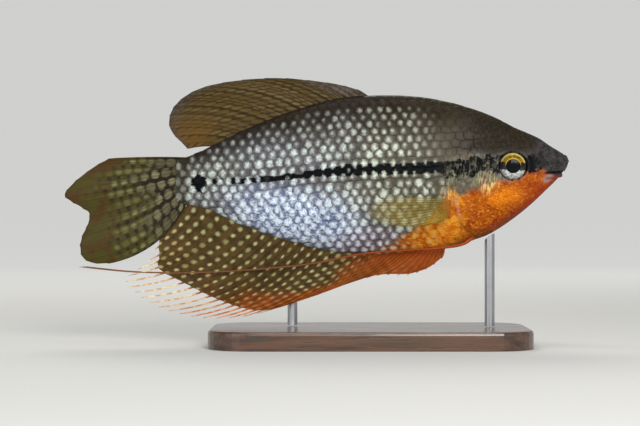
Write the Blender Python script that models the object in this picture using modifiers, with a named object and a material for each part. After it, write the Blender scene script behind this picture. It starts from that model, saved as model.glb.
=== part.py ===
"""A life-size pearl gourami on a plain display stand, built for Blender 4.5.

The fish swims towards +X with its back towards +Z, so its right side faces -Y. The origin is on the
table, under the middle of the fish's length. Every size and place below is in millimetres, and
place() turns it into Blender's metres.
"""

import math

import bmesh
import bpy
import numpy as np
from mathutils import Matrix, Vector

MM = 0.001
GAP = 0.3  # left between pieces that touch

# The outline of the body from the side, as (x, z) from the snout to the tail.
SNOUT_X = 55.8
STALK_END_X = -28.6
BACK = ((55.8, 40.9), (55.6, 41.4), (54.7, 42.1), (51.5, 44.1), (49.5, 45.5), (47.4, 46.5),
        (44.0, 47.9), (40.8, 49.6), (32.0, 52.9), (23.0, 54.7), (14.0, 55.1), (5.6, 54.5),
        (-3.2, 52.2), (-16.4, 47.1), (-25.2, 42.8), (-28.6, 41.5))
BELLY = ((55.8, 40.2), (55.6, 39.5), (55.1, 38.8), (53.4, 36.6), (51.0, 34.2), (47.4, 30.8),
         (43.0, 27.3), (38.6, 24.5), (32.0, 22.3), (23.0, 20.7), (12.0, 20.0), (4.0, 20.5),
         (-3.2, 22.2), (-16.4, 26.5), (-24.0, 29.9), (-28.6, 30.8))
# The body from above: half its width, and the height at which it is widest.
HALF_WIDTH = ((55.8, 0.35), (55.6, 0.85), (54.7, 1.5), (52.6, 2.3), (49.0, 3.25), (44.0, 4.3),
              (40.0, 5.0), (34.0, 5.9), (26.0, 6.5), (17.0, 6.6), (8.0, 6.2), (-3.0, 5.2),
              (-12.0, 4.1), (-20.0, 2.9), (-25.0, 1.8), (-28.6, 0.75))
WIDEST_Z = ((55.8, 40.5), (50.0, 38.6), (44.0, 37.6), (34.0, 36.6), (20.0, 36.6), (0.0, 37.6),
            (-16.0, 37.3), (-28.6, 36.2))
# How keel-like the section is: 1 is an ellipse, more is sharper.
TOP_KEEL = ((55.8, 0.9), (44.0, 0.95), (30.0, 1.05), (-28.6, 1.05))
BOTTOM_KEEL = ((55.8, 0.9), (44.0, 1.0), (34.0, 1.1), (24.0, 1.25), (-28.6, 1.25))
# The tail sweeps a little towards the fish's left.
SWAY_START_X = 10.0
SWAY_LENGTH = 66.0
SWAY_AT_TAIL = 4.0

# The edge of the gill cover, as (z, x), where the head parts from the trunk.
GILL_EDGE = ((20.0, 38.0), (23.5, 35.6), (26.5, 32.2), (30.0, 30.7), (34.5, 30.4), (38.5, 31.4),
             (42.5, 33.6), (47.0, 34.8), (56.0, 34.6))
STALK_X = -18.5  # where the tail stalk parts from the trunk
SNOUT_TIP = 0.1  # how far the point of the snout stands ahead of the first ring
RING_POINTS = 40
HEAD_STATIONS = 24
HEAD_ROUNDING = 0.35  # how far the head's rings are spaced as on a round snout, and not evenly
HEAD_CROWDING = 1.15  # above 1, they crowd towards the snout
TRUNK_STATIONS = 20
STALK_STATIONS = 6

# The head's fittings.
EYE_X, EYE_Z = 43.1, 39.3
EYE_RADIUS = 3.05
EYE_HALF_DEPTH = 1.75
EYE_Y = 3.0  # of its middle, so that it stands a little proud of the cheek
ORBIT_RISE, ORBIT_WIDTH = 0.3, 0.8
GILL_COVER_RISE = 0.45
GILL_COVER_SPAN = (2.0, 7.0)  # it falls off between these distances from its edge
GILL_COVER_TOP_Z = 46.0
CHEEK_EDGE = ((28.2, 47.0), (27.6, 43.5), (29.5, 39.6), (33.0, 38.0), (38.0, 38.6))  # (z, x)
CHEEK_GROOVE, CHEEK_GROOVE_WIDTH = 0.4, 0.9
CHEEK_GROOVE_TOP_Z = 40.0
MOUTH_CORNER = (50.4, 37.8)
MOUTH_FRONT = (56.4, 38.1)
MOUTH_SLIT = 0.36
MOUTH_SLIT_LENGTH = 12.0  # from side to side, more than the snout is wide
LIP_RISE = 0.45
LIP_HEIGHT = 0.95
LIP_SPAN = (49.8, 51.6, 53.6, 55.6)  # x where the lips start, are full, thin and end
NOSTRILS = ((49.4, 42.0, 0.36), (47.6, 41.5, 0.42))  # x, z and radius

# Fins: the most and the least that a ray and the membrane between rays are thick.
RAY_THICK = 0.95
WEB_THICK = 0.52
TIP_THICK = 0.34
TAPER_FROM = 0.6  # the share of a ray's length where it starts to thin
RAY_HALF = 0.3
PECTORAL_RAY_HALF = 0.25
MOST_OF_PITCH = 0.3  # half a ray is never wider than this share of two rays' distance

# Each fin's tips run from its first ray to its last, as (share of the rays, x, z). The share of a
# ray that the membrane reaches is (share of the rays, reach).
DORSAL_RAYS = 16
DORSAL_BASE = (12.4, -21.0)
DORSAL_TIPS = ((0.0, 9.2, 56.3), (0.08, 5.6, 57.3), (0.18, -0.5, 58.2), (0.3, -8.7, 58.8),
               (0.43, -18.1, 58.2), (0.55, -25.0, 56.7), (0.66, -29.4, 54.4), (0.78, -32.0, 51.2),
               (0.9, -31.8, 47.2), (1.0, -28.2, 43.3))
DORSAL_WEB = ((0.0, 0.94), (0.3, 0.965), (0.7, 0.955), (1.0, 0.94))
DORSAL_BOW = ((0.0, -0.04), (0.3, -0.09), (0.7, -0.09), (1.0, -0.05))

ANAL_RAYS = 36
ANAL_BASE = (28.6, -27.4)
ANAL_TIPS = ((0.0, 27.9, 19.1), (0.05, 24.8, 16.8), (0.1, 21.3, 15.6), (0.2, 13.6, 15.3),
             (0.3, 5.2, 12.9), (0.4, -4.0, 9.6), (0.5, -14.3, 6.6), (0.6, -24.6, 6.0),
             (0.7, -33.4, 7.9), (0.8, -39.8, 11.6), (0.88, -41.6, 15.0), (0.94, -37.3, 18.2),
             (1.0, -34.2, 23.2))
ANAL_WEB = ((0.0, 0.93), (0.4, 0.93), (0.5, 0.86), (0.6, 0.74), (0.7, 0.67), (0.8, 0.67),
            (0.88, 0.74), (1.0, 0.95))
ANAL_BOW = ((0.0, 0.05), (0.3, 0.12), (0.7, 0.12), (1.0, 0.05))

CAUDAL_RAYS = 16
CAUDAL_BASE = (41.2, 31.5)
CAUDAL_TIPS = ((0.0, -45.8, 41.1), (0.07, -48.2, 39.9), (0.14, -50.9, 38.1), (0.22, -53.8, 35.7),
               (0.3, -55.7, 33.2), (0.38, -54.3, 31.7), (0.45, -51.9, 30.3), (0.52, -50.2, 28.8),
               (0.58, -50.6, 26.6), (0.66, -51.7, 24.2), (0.75, -52.2, 21.5), (0.83, -51.6, 19.2),
               (0.91, -49.4, 18.0), (1.0, -45.8, 17.9))
CAUDAL_WEB = ((0.0, 0.96), (0.5, 0.97), (1.0, 0.96))
CAUDAL_BOW = ((0.0, -0.01), (0.5, 0.03), (1.0, 0.12))

PECTORAL_RAYS = 10
PECTORAL_ROOT_X = 29.4
PECTORAL_ROOT = (31.9, 28.9)
PECTORAL_TIPS = ((0.0, 14.6, 32.2), (0.2, 11.6, 31.0), (0.4, 10.9, 29.1), (0.6, 13.0, 27.4),
                 (0.8, 18.0, 26.4), (1.0, 23.4, 27.0))
PECTORAL_WEB = ((0.0, 0.965), (1.0, 0.965))
PECTORAL_BOW = ((0.0, -0.06), (1.0, 0.1))
PECTORAL_SPLAY = 4.0  # how far the tips stand off the flank
PECTORAL_STAND = 1.0  # how far the root stands out before the fin turns back
PECTORAL_STALK = 0.05  # the share of the fin that does so

# The thread-like pelvic fins, as (x, y, z) on the right side with y outwards.
PELVIC_ROUTE = ((34.6, 1.35, 22.7), (32.4, 1.95, 21.9), (28.0, 2.05, 21.3), (20.0, 2.0, 20.9),
                (10.0, 1.95, 20.1), (0.0, 1.6, 18.1), (-12.0, 1.35, 16.8), (-26.0, 1.4, 16.0),
                (-40.0, 1.8, 16.1), (-52.0, 2.4, 17.2))
PELVIC_ROOT_RADIUS = 0.5
PELVIC_TIP_RADIUS = 0.28
PELVIC_LENGTHS = {"base": (0.0, 0.5), "end": (0.503, 1.0)}  # shares of the route
PELVIC_POINTS = 18  # in each length

# The stand.
STAND_X = 12.0
STAND_LENGTH = 70.0
STAND_WIDTH = 36.0
STAND_THICK = 4.0
STAND_CORNER = 9.0
STAND_EDGE = 0.7
ROD_RADIUS = 1.1
ROD_SIDES = 20
FRONT_ROD = (38.4, 0.0)
REAR_ROD = (-5.0, 3.2)

SIDES = (("right", -1), ("left", 1))  # the sign of y on each side

# Each finish is a colour, a roughness and how metallic it is.
HEAD_FINISH = ((0.55, 0.16, 0.04), 0.35, 0.0)
TRUNK_FINISH = ((0.30, 0.29, 0.30), 0.3, 0.2)
STALK_FINISH = ((0.24, 0.23, 0.22), 0.3, 0.2)
EYE_FINISH = ((0.30, 0.22, 0.06), 0.08, 0.0)
DORSAL_FINISH = ((0.09, 0.06, 0.02), 0.4, 0.0)
ANAL_FINISH = ((0.20, 0.10, 0.03), 0.4, 0.0)
CAUDAL_FINISH = ((0.09, 0.07, 0.02), 0.4, 0.0)
PECTORAL_FINISH = ((0.25, 0.20, 0.06), 0.4, 0.0)
THREAD_FINISH = ((0.45, 0.14, 0.04), 0.4, 0.0)
WOOD_FINISH = ((0.06, 0.035, 0.02), 0.4, 0.0)
STEEL_FINISH = ((0.6, 0.6, 0.6), 0.3, 1.0)


def smooth(table):
    """A curve through (x, value) pairs: cubic between them, and level past both ends."""
    rows = sorted(table)
    x = np.array([row[0] for row in rows])
    y = np.array([row[1] for row in rows])
    steps = np.diff(y) / np.diff(x)
    slope = np.concatenate([steps[:1], np.zeros(len(x) - 2), steps[-1:]])
    for i in range(1, len(x) - 1):
        before, after = x[i] - x[i - 1], x[i + 1] - x[i]
        slope[i] = (steps[i - 1] * after + steps[i] * before) / (before + after)

    def value(at):
        at = min(max(at, x[0]), x[-1])
        i = min(int(np.searchsorted(x, at, side="right")) - 1, len(x) - 2)
        span = x[i + 1] - x[i]
        t = (at - x[i]) / span
        return float((1 + 2 * t) * (1 - t) ** 2 * y[i] + t * (1 - t) ** 2 * span * slope[i]
                     + t * t * (3 - 2 * t) * y[i + 1] + t * t * (t - 1) * span * slope[i + 1])

    return value


def smooth_path(table):
    """The same for rows of (share, x, z, ...): returns a function from share to a tuple."""
    curves = [smooth([(row[0], row[k]) for row in table]) for k in range(1, len(table[0]))]
    return lambda share: tuple(curve(share) for curve in curves)


back = smooth(BACK)
belly = smooth(BELLY)
half_width = smooth(HALF_WIDTH)
widest_z = smooth(WIDEST_Z)
top_keel = smooth(TOP_KEEL)
bottom_keel = smooth(BOTTOM_KEEL)
gill_edge = smooth(GILL_EDGE)
cheek_edge = smooth(CHEEK_EDGE)


def sway(x):
    """How far the body's middle plane lies to the left at x."""
    return SWAY_AT_TAIL * (max(SWAY_START_X - x, 0.0) / SWAY_LENGTH) ** 2


def place(x, y, z):
    return Vector((x, y + sway(x), z)) * MM


def flank(x, z):
    """Half the body's width at the height z of the section at x."""
    middle = widest_z(x)
    if z >= middle:
        share, keel = (z - middle) / (back(x) - middle), top_keel(x)
    else:
        share, keel = (middle - z) / (middle - belly(x)), bottom_keel(x)
    return half_width(x) * max(1.0 - share * share, 0.0) ** (keel / 2)


def fade(value, low, high):
    """0 below low, 1 above high, and smooth between."""
    t = min(max((value - low) / (high - low), 0.0), 1.0)
    return t * t * (3 - 2 * t)


def mouth_height(x, z):
    """How far (x, z) lies above the line of the mouth."""
    run = (x - MOUTH_CORNER[0]) / (MOUTH_FRONT[0] - MOUTH_CORNER[0])
    return z - (MOUTH_CORNER[1] + run * (MOUTH_FRONT[1] - MOUTH_CORNER[1]))


def relief(x, z):
    """How far the head's bones and lips stand out of the plain section at (x, z)."""
    from_eye = math.hypot(x - EYE_X, z - EYE_Z)
    rim = ORBIT_RISE * math.exp(-((from_eye - EYE_RADIUS - 0.5) / ORBIT_WIDTH) ** 2)
    to_edge = x - gill_edge(z)
    cover = GILL_COVER_RISE * (1 - fade(to_edge, *GILL_COVER_SPAN))
    cover *= fade(GILL_COVER_TOP_Z - z, 0.0, 5.0)
    cheek = CHEEK_GROOVE * math.exp(-((x - cheek_edge(z)) / CHEEK_GROOVE_WIDTH) ** 2)
    cheek *= fade(CHEEK_GROOVE_TOP_Z - z, 0.0, 3.0)
    lip_share = abs(mouth_height(x, z)) / LIP_HEIGHT
    lips = LIP_RISE * math.exp(-((lip_share - 0.75) / 0.6) ** 2)
    lips *= fade(x, *LIP_SPAN[:2]) * (1 - fade(x, *LIP_SPAN[2:]))
    on_head = fade(to_edge, -0.2, 0.0)
    return on_head * (rim + cover - cheek + lips)


def underside(x, y):
    """The height of the body's lower surface, y from the middle plane."""
    share = math.sqrt(1.0 - (abs(y) / half_width(x)) ** (2 / bottom_keel(x)))
    z = widest_z(x) - (widest_z(x) - belly(x)) * share
    return z - relief(x, z)


def section_point(x, turn):
    """(y, z) of the plain section at x; turn runs from -pi/2 at the belly to pi/2 at the back."""
    rise = math.sin(turn)
    middle = widest_z(x)
    reach = back(x) - middle if rise >= 0 else middle - belly(x)
    keel = top_keel(x) if rise >= 0 else bottom_keel(x)
    return half_width(x) * max(math.cos(turn), 0.0) ** keel, middle + reach * rise


def skin_point(front, rear, share, turn, side):
    """A point of the skin, share of the way from the curve front(z) to the curve rear(z)."""
    x = front(widest_z(0)) * (1 - share) + rear(widest_z(0)) * share
    for _ in range(12):
        z = section_point(x, turn)[1]
        x = front(z) * (1 - share) + rear(z) * share
    y, z = section_point(x, turn)
    out = relief(x, z)
    if out:
        slope = (flank(x + 0.2, z) - flank(x - 0.2, z)) / 0.4
        normal = Vector((-slope, max(math.cos(turn), 0.05), math.sin(turn) * 0.5)).normalized()
        x, y, z = x + out * normal.x, y + out * normal.y * (y > 0.02), z + out * normal.z
    return place(x, side * y, z)


def new_object(name, data, finish):
    """Links an object with a material of its own; finish is its colour, roughness and metallic."""
    colour, roughness, metallic = finish
    material = bpy.data.materials.new(f"{name}_finish")
    material.use_nodes = True
    shader = material.node_tree.nodes["Principled BSDF"]
    shader.inputs["Base Color"].default_value = (*colour, 1.0)
    shader.inputs["Roughness"].default_value = roughness
    shader.inputs["Metallic"].default_value = metallic
    material.diffuse_color = (*colour, 1.0)
    data.materials.append(material)
    obj = bpy.data.objects.new(name, data)
    model.objects.link(obj)
    return obj


def finish_mesh(bm, name, finish, sharp=35):
    """Makes an object of bm, with its faces turned out and its soft edges shaded smooth."""
    bmesh.ops.recalc_face_normals(bm, faces=bm.faces)
    mesh = bpy.data.meshes.new(name)
    bm.to_mesh(mesh)
    bm.free()
    mesh.shade_smooth()
    mesh.set_sharp_from_angle(angle=math.radians(sharp))
    return new_object(name, mesh, finish)


def body_length(name, front, rear, shares, finish, tip=None):
    """One length of the body: rings of points lofted from front to rear, closed by ladders of
    faces from the right side to the left, or at the snout by a fan round one tip."""
    bm = bmesh.new()
    half = RING_POINTS // 2
    rings = []
    for share in shares:
        ring = []
        for i in range(RING_POINTS):
            turn = math.pi / 2 - math.pi * (i if i <= half else RING_POINTS - i) / half
            side = -1 if i <= half else 1
            if i in (0, half):
                side = 0
            ring.append(bm.verts.new(skin_point(front, rear, share, turn, side)))
        rings.append(ring)
    for first, second in zip(rings, rings[1:]):
        for i in range(RING_POINTS):
            j = (i + 1) % RING_POINTS
            bm.faces.new((first[i], first[j], second[j], second[i]))
    for ring in rings[:1] * (tip is None) + rings[-1:]:
        bm.faces.new((ring[0], ring[1], ring[-1]))
        for i in range(1, half - 1):
            bm.faces.new((ring[i], ring[i + 1], ring[-i - 1], ring[-i]))
        bm.faces.new((ring[half - 1], ring[half], ring[half + 1]))
    if tip is not None:
        point = bm.verts.new(tip)
        for i in range(RING_POINTS):
            bm.faces.new((point, rings[0][i], rings[0][(i + 1) % RING_POINTS]))
    bmesh.ops.triangulate(bm, faces=bm.faces)
    return finish_mesh(bm, name, finish)


def cutter(name, bm):
    mesh = bpy.data.meshes.new(name)
    bm.to_mesh(mesh)
    bm.free()
    obj = bpy.data.objects.new(name, mesh)
    obj.hide_render = True
    obj.display_type = "WIRE"
    cutters.objects.link(obj)
    return obj


def cut(obj, tool):
    modifier = obj.modifiers.new(tool.name, "BOOLEAN")
    modifier.operation = "DIFFERENCE"
    modifier.object = tool


def ball(radius_x, radius_y, radius_z, centre, segments, rings):
    bm = bmesh.new()
    bmesh.ops.create_uvsphere(bm, u_segments=segments, v_segments=rings, radius=1.0)
    shape = Matrix.Diagonal((radius_x * MM, radius_z * MM, radius_y * MM, 1.0))
    upright = Matrix.Rotation(math.pi / 2, 4, "X")  # turns the poles to face the sides
    bm.transform(Matrix.Translation(centre) @ upright @ shape)
    return bm


def make_head():
    evenly = [i / HEAD_STATIONS for i in range(HEAD_STATIONS + 1)]
    rounded = [1 - math.cos(math.pi / 2 * share) for share in evenly]
    shares = [(HEAD_ROUNDING * first + (1 - HEAD_ROUNDING) * second) ** HEAD_CROWDING
              for first, second in zip(rounded, evenly)]
    head = body_length("head", lambda z: SNOUT_X, lambda z: gill_edge(z) + GAP / 2, shares,
                       HEAD_FINISH, tip=place(SNOUT_X + SNOUT_TIP, 0.0, widest_z(SNOUT_X)))
    for label, side in SIDES:
        centre = place(EYE_X, side * EYE_Y, EYE_Z)
        grown = EYE_RADIUS + GAP
        cut(head, cutter(f"socket_{label}",
                         ball(grown, EYE_HALF_DEPTH + GAP, grown, centre, 24, 12)))
        for number, (x, z, radius) in enumerate(NOSTRILS):
            centre = place(x, side * (flank(x, z) + 0.1), z)
            cut(head, cutter(f"nostril_{label}_{number}",
                             ball(radius, radius, radius, centre, 8, 6)))
    slit = bmesh.new()
    bmesh.ops.create_cube(slit, size=1.0)
    run = Vector((MOUTH_FRONT[0] - MOUTH_CORNER[0], MOUTH_FRONT[1] - MOUTH_CORNER[1]))
    size = Matrix.Diagonal((run.length * MM, MOUTH_SLIT_LENGTH * MM, MOUTH_SLIT * MM, 1.0))
    middle = place((MOUTH_CORNER[0] + MOUTH_FRONT[0]) / 2, 0, (MOUTH_CORNER[1] + MOUTH_FRONT[1]) / 2)
    tilt = Matrix.Rotation(-math.atan2(run.y, run.x), 4, "Y")
    slit.transform(Matrix.Translation(middle) @ tilt @ size)
    cut(head, cutter("mouth_slit", slit))


def make_body():
    shares = [i / TRUNK_STATIONS for i in range(TRUNK_STATIONS + 1)]
    body_length("trunk", lambda z: gill_edge(z) - GAP / 2, lambda z: STALK_X + GAP / 2, shares,
                TRUNK_FINISH)
    shares = [i / STALK_STATIONS for i in range(STALK_STATIONS + 1)]
    body_length("tail_stalk", lambda z: STALK_X - GAP / 2, lambda z: STALK_END_X, shares,
                STALK_FINISH)


def make_eyes():
    for label, side in SIDES:
        centre = place(EYE_X, side * EYE_Y, EYE_Z)
        bm = ball(EYE_RADIUS, EYE_HALF_DEPTH, EYE_RADIUS, centre, 24, 12)
        finish_mesh(bm, f"eye_{label}", EYE_FINISH)


def bowed(base, tip, bow, along):
    """A point of a ray that curves from base to tip, with bow as a share of its length."""
    run = np.subtract(tip, base)
    return base + run * along + np.array((-run[1], run[0])) * (4 * bow * along * (1 - along))


def unit(vector):
    return vector / np.linalg.norm(vector)


def make_fin(name, rays, root, tip, web, bow, set_off, rows, free_rows, ray_half, finish, stalk=0.0):
    """A membrane with rays raised on both of its faces.

    The sheet is a grid with three columns to each ray, its two edges and its crest, and the
    thickness that Solidify gives it is greatest on the crests. Between two rays it ends at the
    membrane's margin, and the rays run on beyond. For a ray's share of the way along the fin,
    root and tip give its two ends as (x, z), web how much of it the membrane reaches, and bow how
    it curves. set_off(along) is the sheet's place in y. A stalk is the share of each ray that
    stands straight out of the body before the ray turns along it.
    """
    across_count = 3 * rays - 1
    up_count = rows + free_rows

    def ray_point(share, along):
        past_stalk = max(along - stalk, 0.0) / (1 - stalk)
        return bowed(root(share), tip(share), bow(share), past_stalk)

    bm = bmesh.new()
    weights = bm.verts.layers.deform.verify()
    bmesh.ops.create_grid(bm, x_segments=across_count, y_segments=up_count, size=1.0)
    beyond = []
    for vert in bm.verts:
        column = round((vert.co.x + 1) / 2 * across_count)
        row = round((vert.co.y + 1) / 2 * up_count)
        share = (column // 3) / (rays - 1)
        edge = column % 3 - 1
        reach = web(share)
        if row <= rows:
            along = reach * (row / rows) ** (2.0 if stalk else 1.0)
        else:
            along = reach + (1 - reach) * (row - rows) / free_rows
        step = 0.5 / (rays - 1)
        point = ray_point(share, along)
        lowest = max(along, stalk)
        run = unit(ray_point(share, lowest + 0.01) - ray_point(share, lowest))
        across = np.array((-run[1], run[0]))
        pitch = ray_point(share + step, along) - ray_point(share - step, along)
        if row == 0:
            across = unit(pitch)
        elif np.dot(across, pitch) < 0:
            across = -across
        narrow = 1 - 0.5 * max(along - reach, 0.0) / (1 - reach)
        half = min(ray_half, MOST_OF_PITCH * abs(np.dot(across, pitch))) * narrow
        x, z = point + across * half * edge
        crest = RAY_THICK if edge == 0 else WEB_THICK
        thick = crest + (TIP_THICK - crest) * fade(along, TAPER_FROM, 1.0)
        vert.co = place(x, set_off(along), z)
        vert[weights][0] = thick / RAY_THICK
        vert.index = column + row * (across_count + 1)
    for face in bm.faces:
        columns = {vert.index % (across_count + 1) for vert in face.verts}
        lowest = min(vert.index // (across_count + 1) for vert in face.verts)
        if lowest >= rows and min(columns) % 3 == 2:
            beyond.append(face)
    bmesh.ops.delete(bm, geom=beyond, context="FACES")
    bmesh.ops.triangulate(bm, faces=bm.faces)
    fin = finish_mesh(bm, name, finish)
    fin.vertex_groups.new(name="thickness")
    solidify = fin.modifiers.new("both_faces", "SOLIDIFY")
    solidify.thickness = RAY_THICK * MM
    solidify.offset = 0.0
    solidify.vertex_group = "thickness"


def along_line(first, last, line):
    """The (x, z) of a fin's root, which follows line(x) from first to last."""
    def root(share):
        x = first + (last - first) * share
        return x, line(x)
    return root


def in_middle(along):
    return 0.0


def make_median_fins():
    make_fin("dorsal_fin", DORSAL_RAYS, along_line(*DORSAL_BASE, lambda x: back(x) + GAP),
             smooth_path(DORSAL_TIPS), smooth(DORSAL_WEB), smooth(DORSAL_BOW), in_middle,
             rows=7, free_rows=1, ray_half=RAY_HALF, finish=DORSAL_FINISH)
    make_fin("anal_fin", ANAL_RAYS, along_line(*ANAL_BASE, lambda x: belly(x) - GAP),
             smooth_path(ANAL_TIPS), smooth(ANAL_WEB), smooth(ANAL_BOW), in_middle,
             rows=6, free_rows=2, ray_half=RAY_HALF, finish=ANAL_FINISH)

    def stalk_end(share):
        return STALK_END_X - GAP, CAUDAL_BASE[0] + (CAUDAL_BASE[1] - CAUDAL_BASE[0]) * share

    make_fin("caudal_fin", CAUDAL_RAYS, stalk_end, smooth_path(CAUDAL_TIPS), smooth(CAUDAL_WEB),
             smooth(CAUDAL_BOW), in_middle, rows=7, free_rows=1, ray_half=RAY_HALF,
             finish=CAUDAL_FINISH)


def make_pectoral_fins():
    """Each stands straight out of the flank behind the gill cover, then turns back along it."""
    def root(share):
        return PECTORAL_ROOT_X, PECTORAL_ROOT[0] + (PECTORAL_ROOT[1] - PECTORAL_ROOT[0]) * share

    for label, side in SIDES:
        def off(along, side=side):
            base = flank(PECTORAL_ROOT_X, sum(PECTORAL_ROOT) / 2) + GAP
            stand = PECTORAL_STAND * min(along / PECTORAL_STALK, 1.0)
            return side * (base + stand + PECTORAL_SPLAY * along)

        make_fin(f"pectoral_fin_{label}", PECTORAL_RAYS, root, smooth_path(PECTORAL_TIPS),
                 smooth(PECTORAL_WEB), smooth(PECTORAL_BOW), off, rows=7, free_rows=1,
                 ray_half=PECTORAL_RAY_HALF, finish=PECTORAL_FINISH, stalk=PECTORAL_STALK)


def make_pelvic_threads():
    """Each is a long feeler in two lengths, from under the throat to below the tail."""
    route = smooth_path([(i / (len(PELVIC_ROUTE) - 1), *row) for i, row in enumerate(PELVIC_ROUTE)])
    for label, side in SIDES:
        for length, (first, last) in PELVIC_LENGTHS.items():
            name = f"pelvic_thread_{label}_{length}"
            curve = bpy.data.curves.new(name, "CURVE")
            curve.dimensions = "3D"
            curve.bevel_depth = MM
            curve.bevel_resolution = 1
            curve.use_fill_caps = True
            spline = curve.splines.new("POLY")
            spline.points.add(PELVIC_POINTS - 1)
            for i, point in enumerate(spline.points):
                share = first + (last - first) * i / (PELVIC_POINTS - 1)
                x, y, z = route(share)
                point.co = (*place(x, side * y, z), 1.0)
                point.radius = PELVIC_ROOT_RADIUS + (PELVIC_TIP_RADIUS - PELVIC_ROOT_RADIUS) * share
            new_object(name, curve, THREAD_FINISH)


def make_stand():
    bm = bmesh.new()
    bmesh.ops.create_cube(bm, size=1.0)
    size = Matrix.Diagonal((STAND_LENGTH * MM, STAND_WIDTH * MM, STAND_THICK * MM, 1.0))
    bm.transform(Matrix.Translation(Vector((STAND_X, 0, STAND_THICK / 2)) * MM) @ size)
    upright = [e for e in bm.edges if abs(e.verts[0].co.z - e.verts[1].co.z) > MM]
    bmesh.ops.bevel(bm, geom=upright, offset=STAND_CORNER * MM, segments=8, profile=0.5,
                    affect="EDGES")
    top = [e for e in bm.edges if min(v.co.z for v in e.verts) > (STAND_THICK - 0.1) * MM]
    bmesh.ops.bevel(bm, geom=top, offset=STAND_EDGE * MM, segments=3, profile=0.5, affect="EDGES")
    finish_mesh(bm, "stand_base", WOOD_FINISH)
    for label, (rod_x, rod_y) in (("front", FRONT_ROD), ("rear", REAR_ROD)):
        bm = bmesh.new()
        bmesh.ops.create_cone(bm, segments=ROD_SIDES, radius1=ROD_RADIUS, radius2=ROD_RADIUS,
                              depth=2.0, cap_ends=True)
        upper = [f for f in bm.faces if f.normal.z > 0.9]
        bmesh.ops.poke(bm, faces=upper)
        for vert in bm.verts:
            x, y = vert.co.x + rod_x, vert.co.y + rod_y
            z = underside(x, y) - GAP if vert.co.z > 0 else STAND_THICK + GAP
            vert.co = place(x, y, z)
        finish_mesh(bm, f"stand_rod_{label}", STEEL_FINISH)


for old in list(bpy.data.objects):
    bpy.data.objects.remove(old, do_unlink=True)
model = bpy.data.collections.new("pearl_gourami")
cutters = bpy.data.collections.new("pearl_gourami_cutters")
bpy.context.scene.collection.children.link(model)
bpy.context.scene.collection.children.link(cutters)

make_head()
make_body()
make_eyes()
make_median_fins()
make_pectoral_fins()
make_pelvic_threads()
make_stand()
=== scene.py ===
# %% [markdown]
# # A pearl gourami on its display stand
# This script dresses a model of an adult male pearl gourami, about 111 mm long. The solids, with
# their true sizes, come from the frame. Here they get what the eye sees: one seamless skin, a coat
# of overlapping scales with a pearl on each, fins with fine rays, and wet eyes.
# Every length below is in millimetres until a mesh is made.

# %% Load the frame
import math

import bmesh
import bpy
import numpy as np
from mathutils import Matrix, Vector


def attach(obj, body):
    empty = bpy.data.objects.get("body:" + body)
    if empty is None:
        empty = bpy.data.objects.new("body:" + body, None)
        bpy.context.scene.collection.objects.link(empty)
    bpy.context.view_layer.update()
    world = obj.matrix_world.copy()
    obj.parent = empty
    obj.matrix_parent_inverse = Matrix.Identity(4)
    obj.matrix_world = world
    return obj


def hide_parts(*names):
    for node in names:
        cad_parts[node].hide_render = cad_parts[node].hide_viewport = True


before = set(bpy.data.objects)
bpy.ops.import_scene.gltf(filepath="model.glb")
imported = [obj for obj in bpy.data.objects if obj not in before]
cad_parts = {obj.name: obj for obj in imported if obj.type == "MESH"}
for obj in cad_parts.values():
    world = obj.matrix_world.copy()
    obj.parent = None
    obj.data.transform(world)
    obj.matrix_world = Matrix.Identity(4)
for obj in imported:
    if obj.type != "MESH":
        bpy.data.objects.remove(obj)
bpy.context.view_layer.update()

MM = 0.001
RIGHT, LEFT = -1, 1  # the sign of y on the fish's two sides
rng = np.random.default_rng(7)
print("solids:", sorted(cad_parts))

# %% [markdown]
# ## Smooth curves through a few sizes
# A fish's outline bends gently, so a curve through a dozen named points draws it better than
# hundreds of straight bits. One helper turns (x, value) pairs into such a curve, for whole arrays
# at once. Another fades softly from 0 to 1, which markings and folds both need.

# %% Curves and fades


def smooth(table):
    """A curve through (x, value) pairs, level past both ends."""
    x, y = np.array(sorted(table), dtype=float).T
    steps = np.diff(y) / np.diff(x)
    spans = np.diff(x)
    inner = (steps[:-1] * spans[1:] + steps[1:] * spans[:-1]) / (spans[1:] + spans[:-1])
    slope = np.concatenate([steps[:1], inner, steps[-1:]])

    def value(at):
        at = np.clip(at, x[0], x[-1])
        i = np.clip(np.searchsorted(x, at, side="right") - 1, 0, len(x) - 2)
        span = x[i + 1] - x[i]
        t = (at - x[i]) / span
        start = (1 + 2 * t) * (1 - t) ** 2 * y[i] + t * (1 - t) ** 2 * span * slope[i]
        return start + t * t * (3 - 2 * t) * y[i + 1] + t * t * (t - 1) * span * slope[i + 1]

    return value


def smooth_path(table):
    """The same for rows of (share, x, z, ...): gives an array with the last axis x, z, ..."""
    curves = [smooth([(row[0], row[k]) for row in table]) for k in range(1, len(table[0]))]
    return lambda share: np.stack([curve(share) for curve in curves], axis=-1)


def fade(value, low, high):
    """0 below low, 1 above high, and smooth between."""
    t = np.clip((value - low) / (high - low), 0.0, 1.0)
    return t * t * (3 - 2 * t)


def bump_at(value, middle, width):
    """A soft hump, 1 at middle and nearly 0 two widths away."""
    return np.exp(-((value - middle) / width) ** 2)


def unit(vectors):
    return vectors / np.maximum(np.linalg.norm(vectors, axis=-1, keepdims=True), 1e-12)


print("a fade from 0 to 4 is", fade(1.0, 0.0, 4.0), "at 1 and", fade(2.0, 0.0, 4.0), "at 2")

# %% [markdown]
# ## The body's shape
# A gourami is tall and thin. Seen from the side, two curves bound it, the back and the belly.
# Seen from above, a third gives half its width. Each slice across is close to an ellipse, a
# little keeled below. These are the sizes that the solids were built from, so the skin lies
# exactly where they are.

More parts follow.
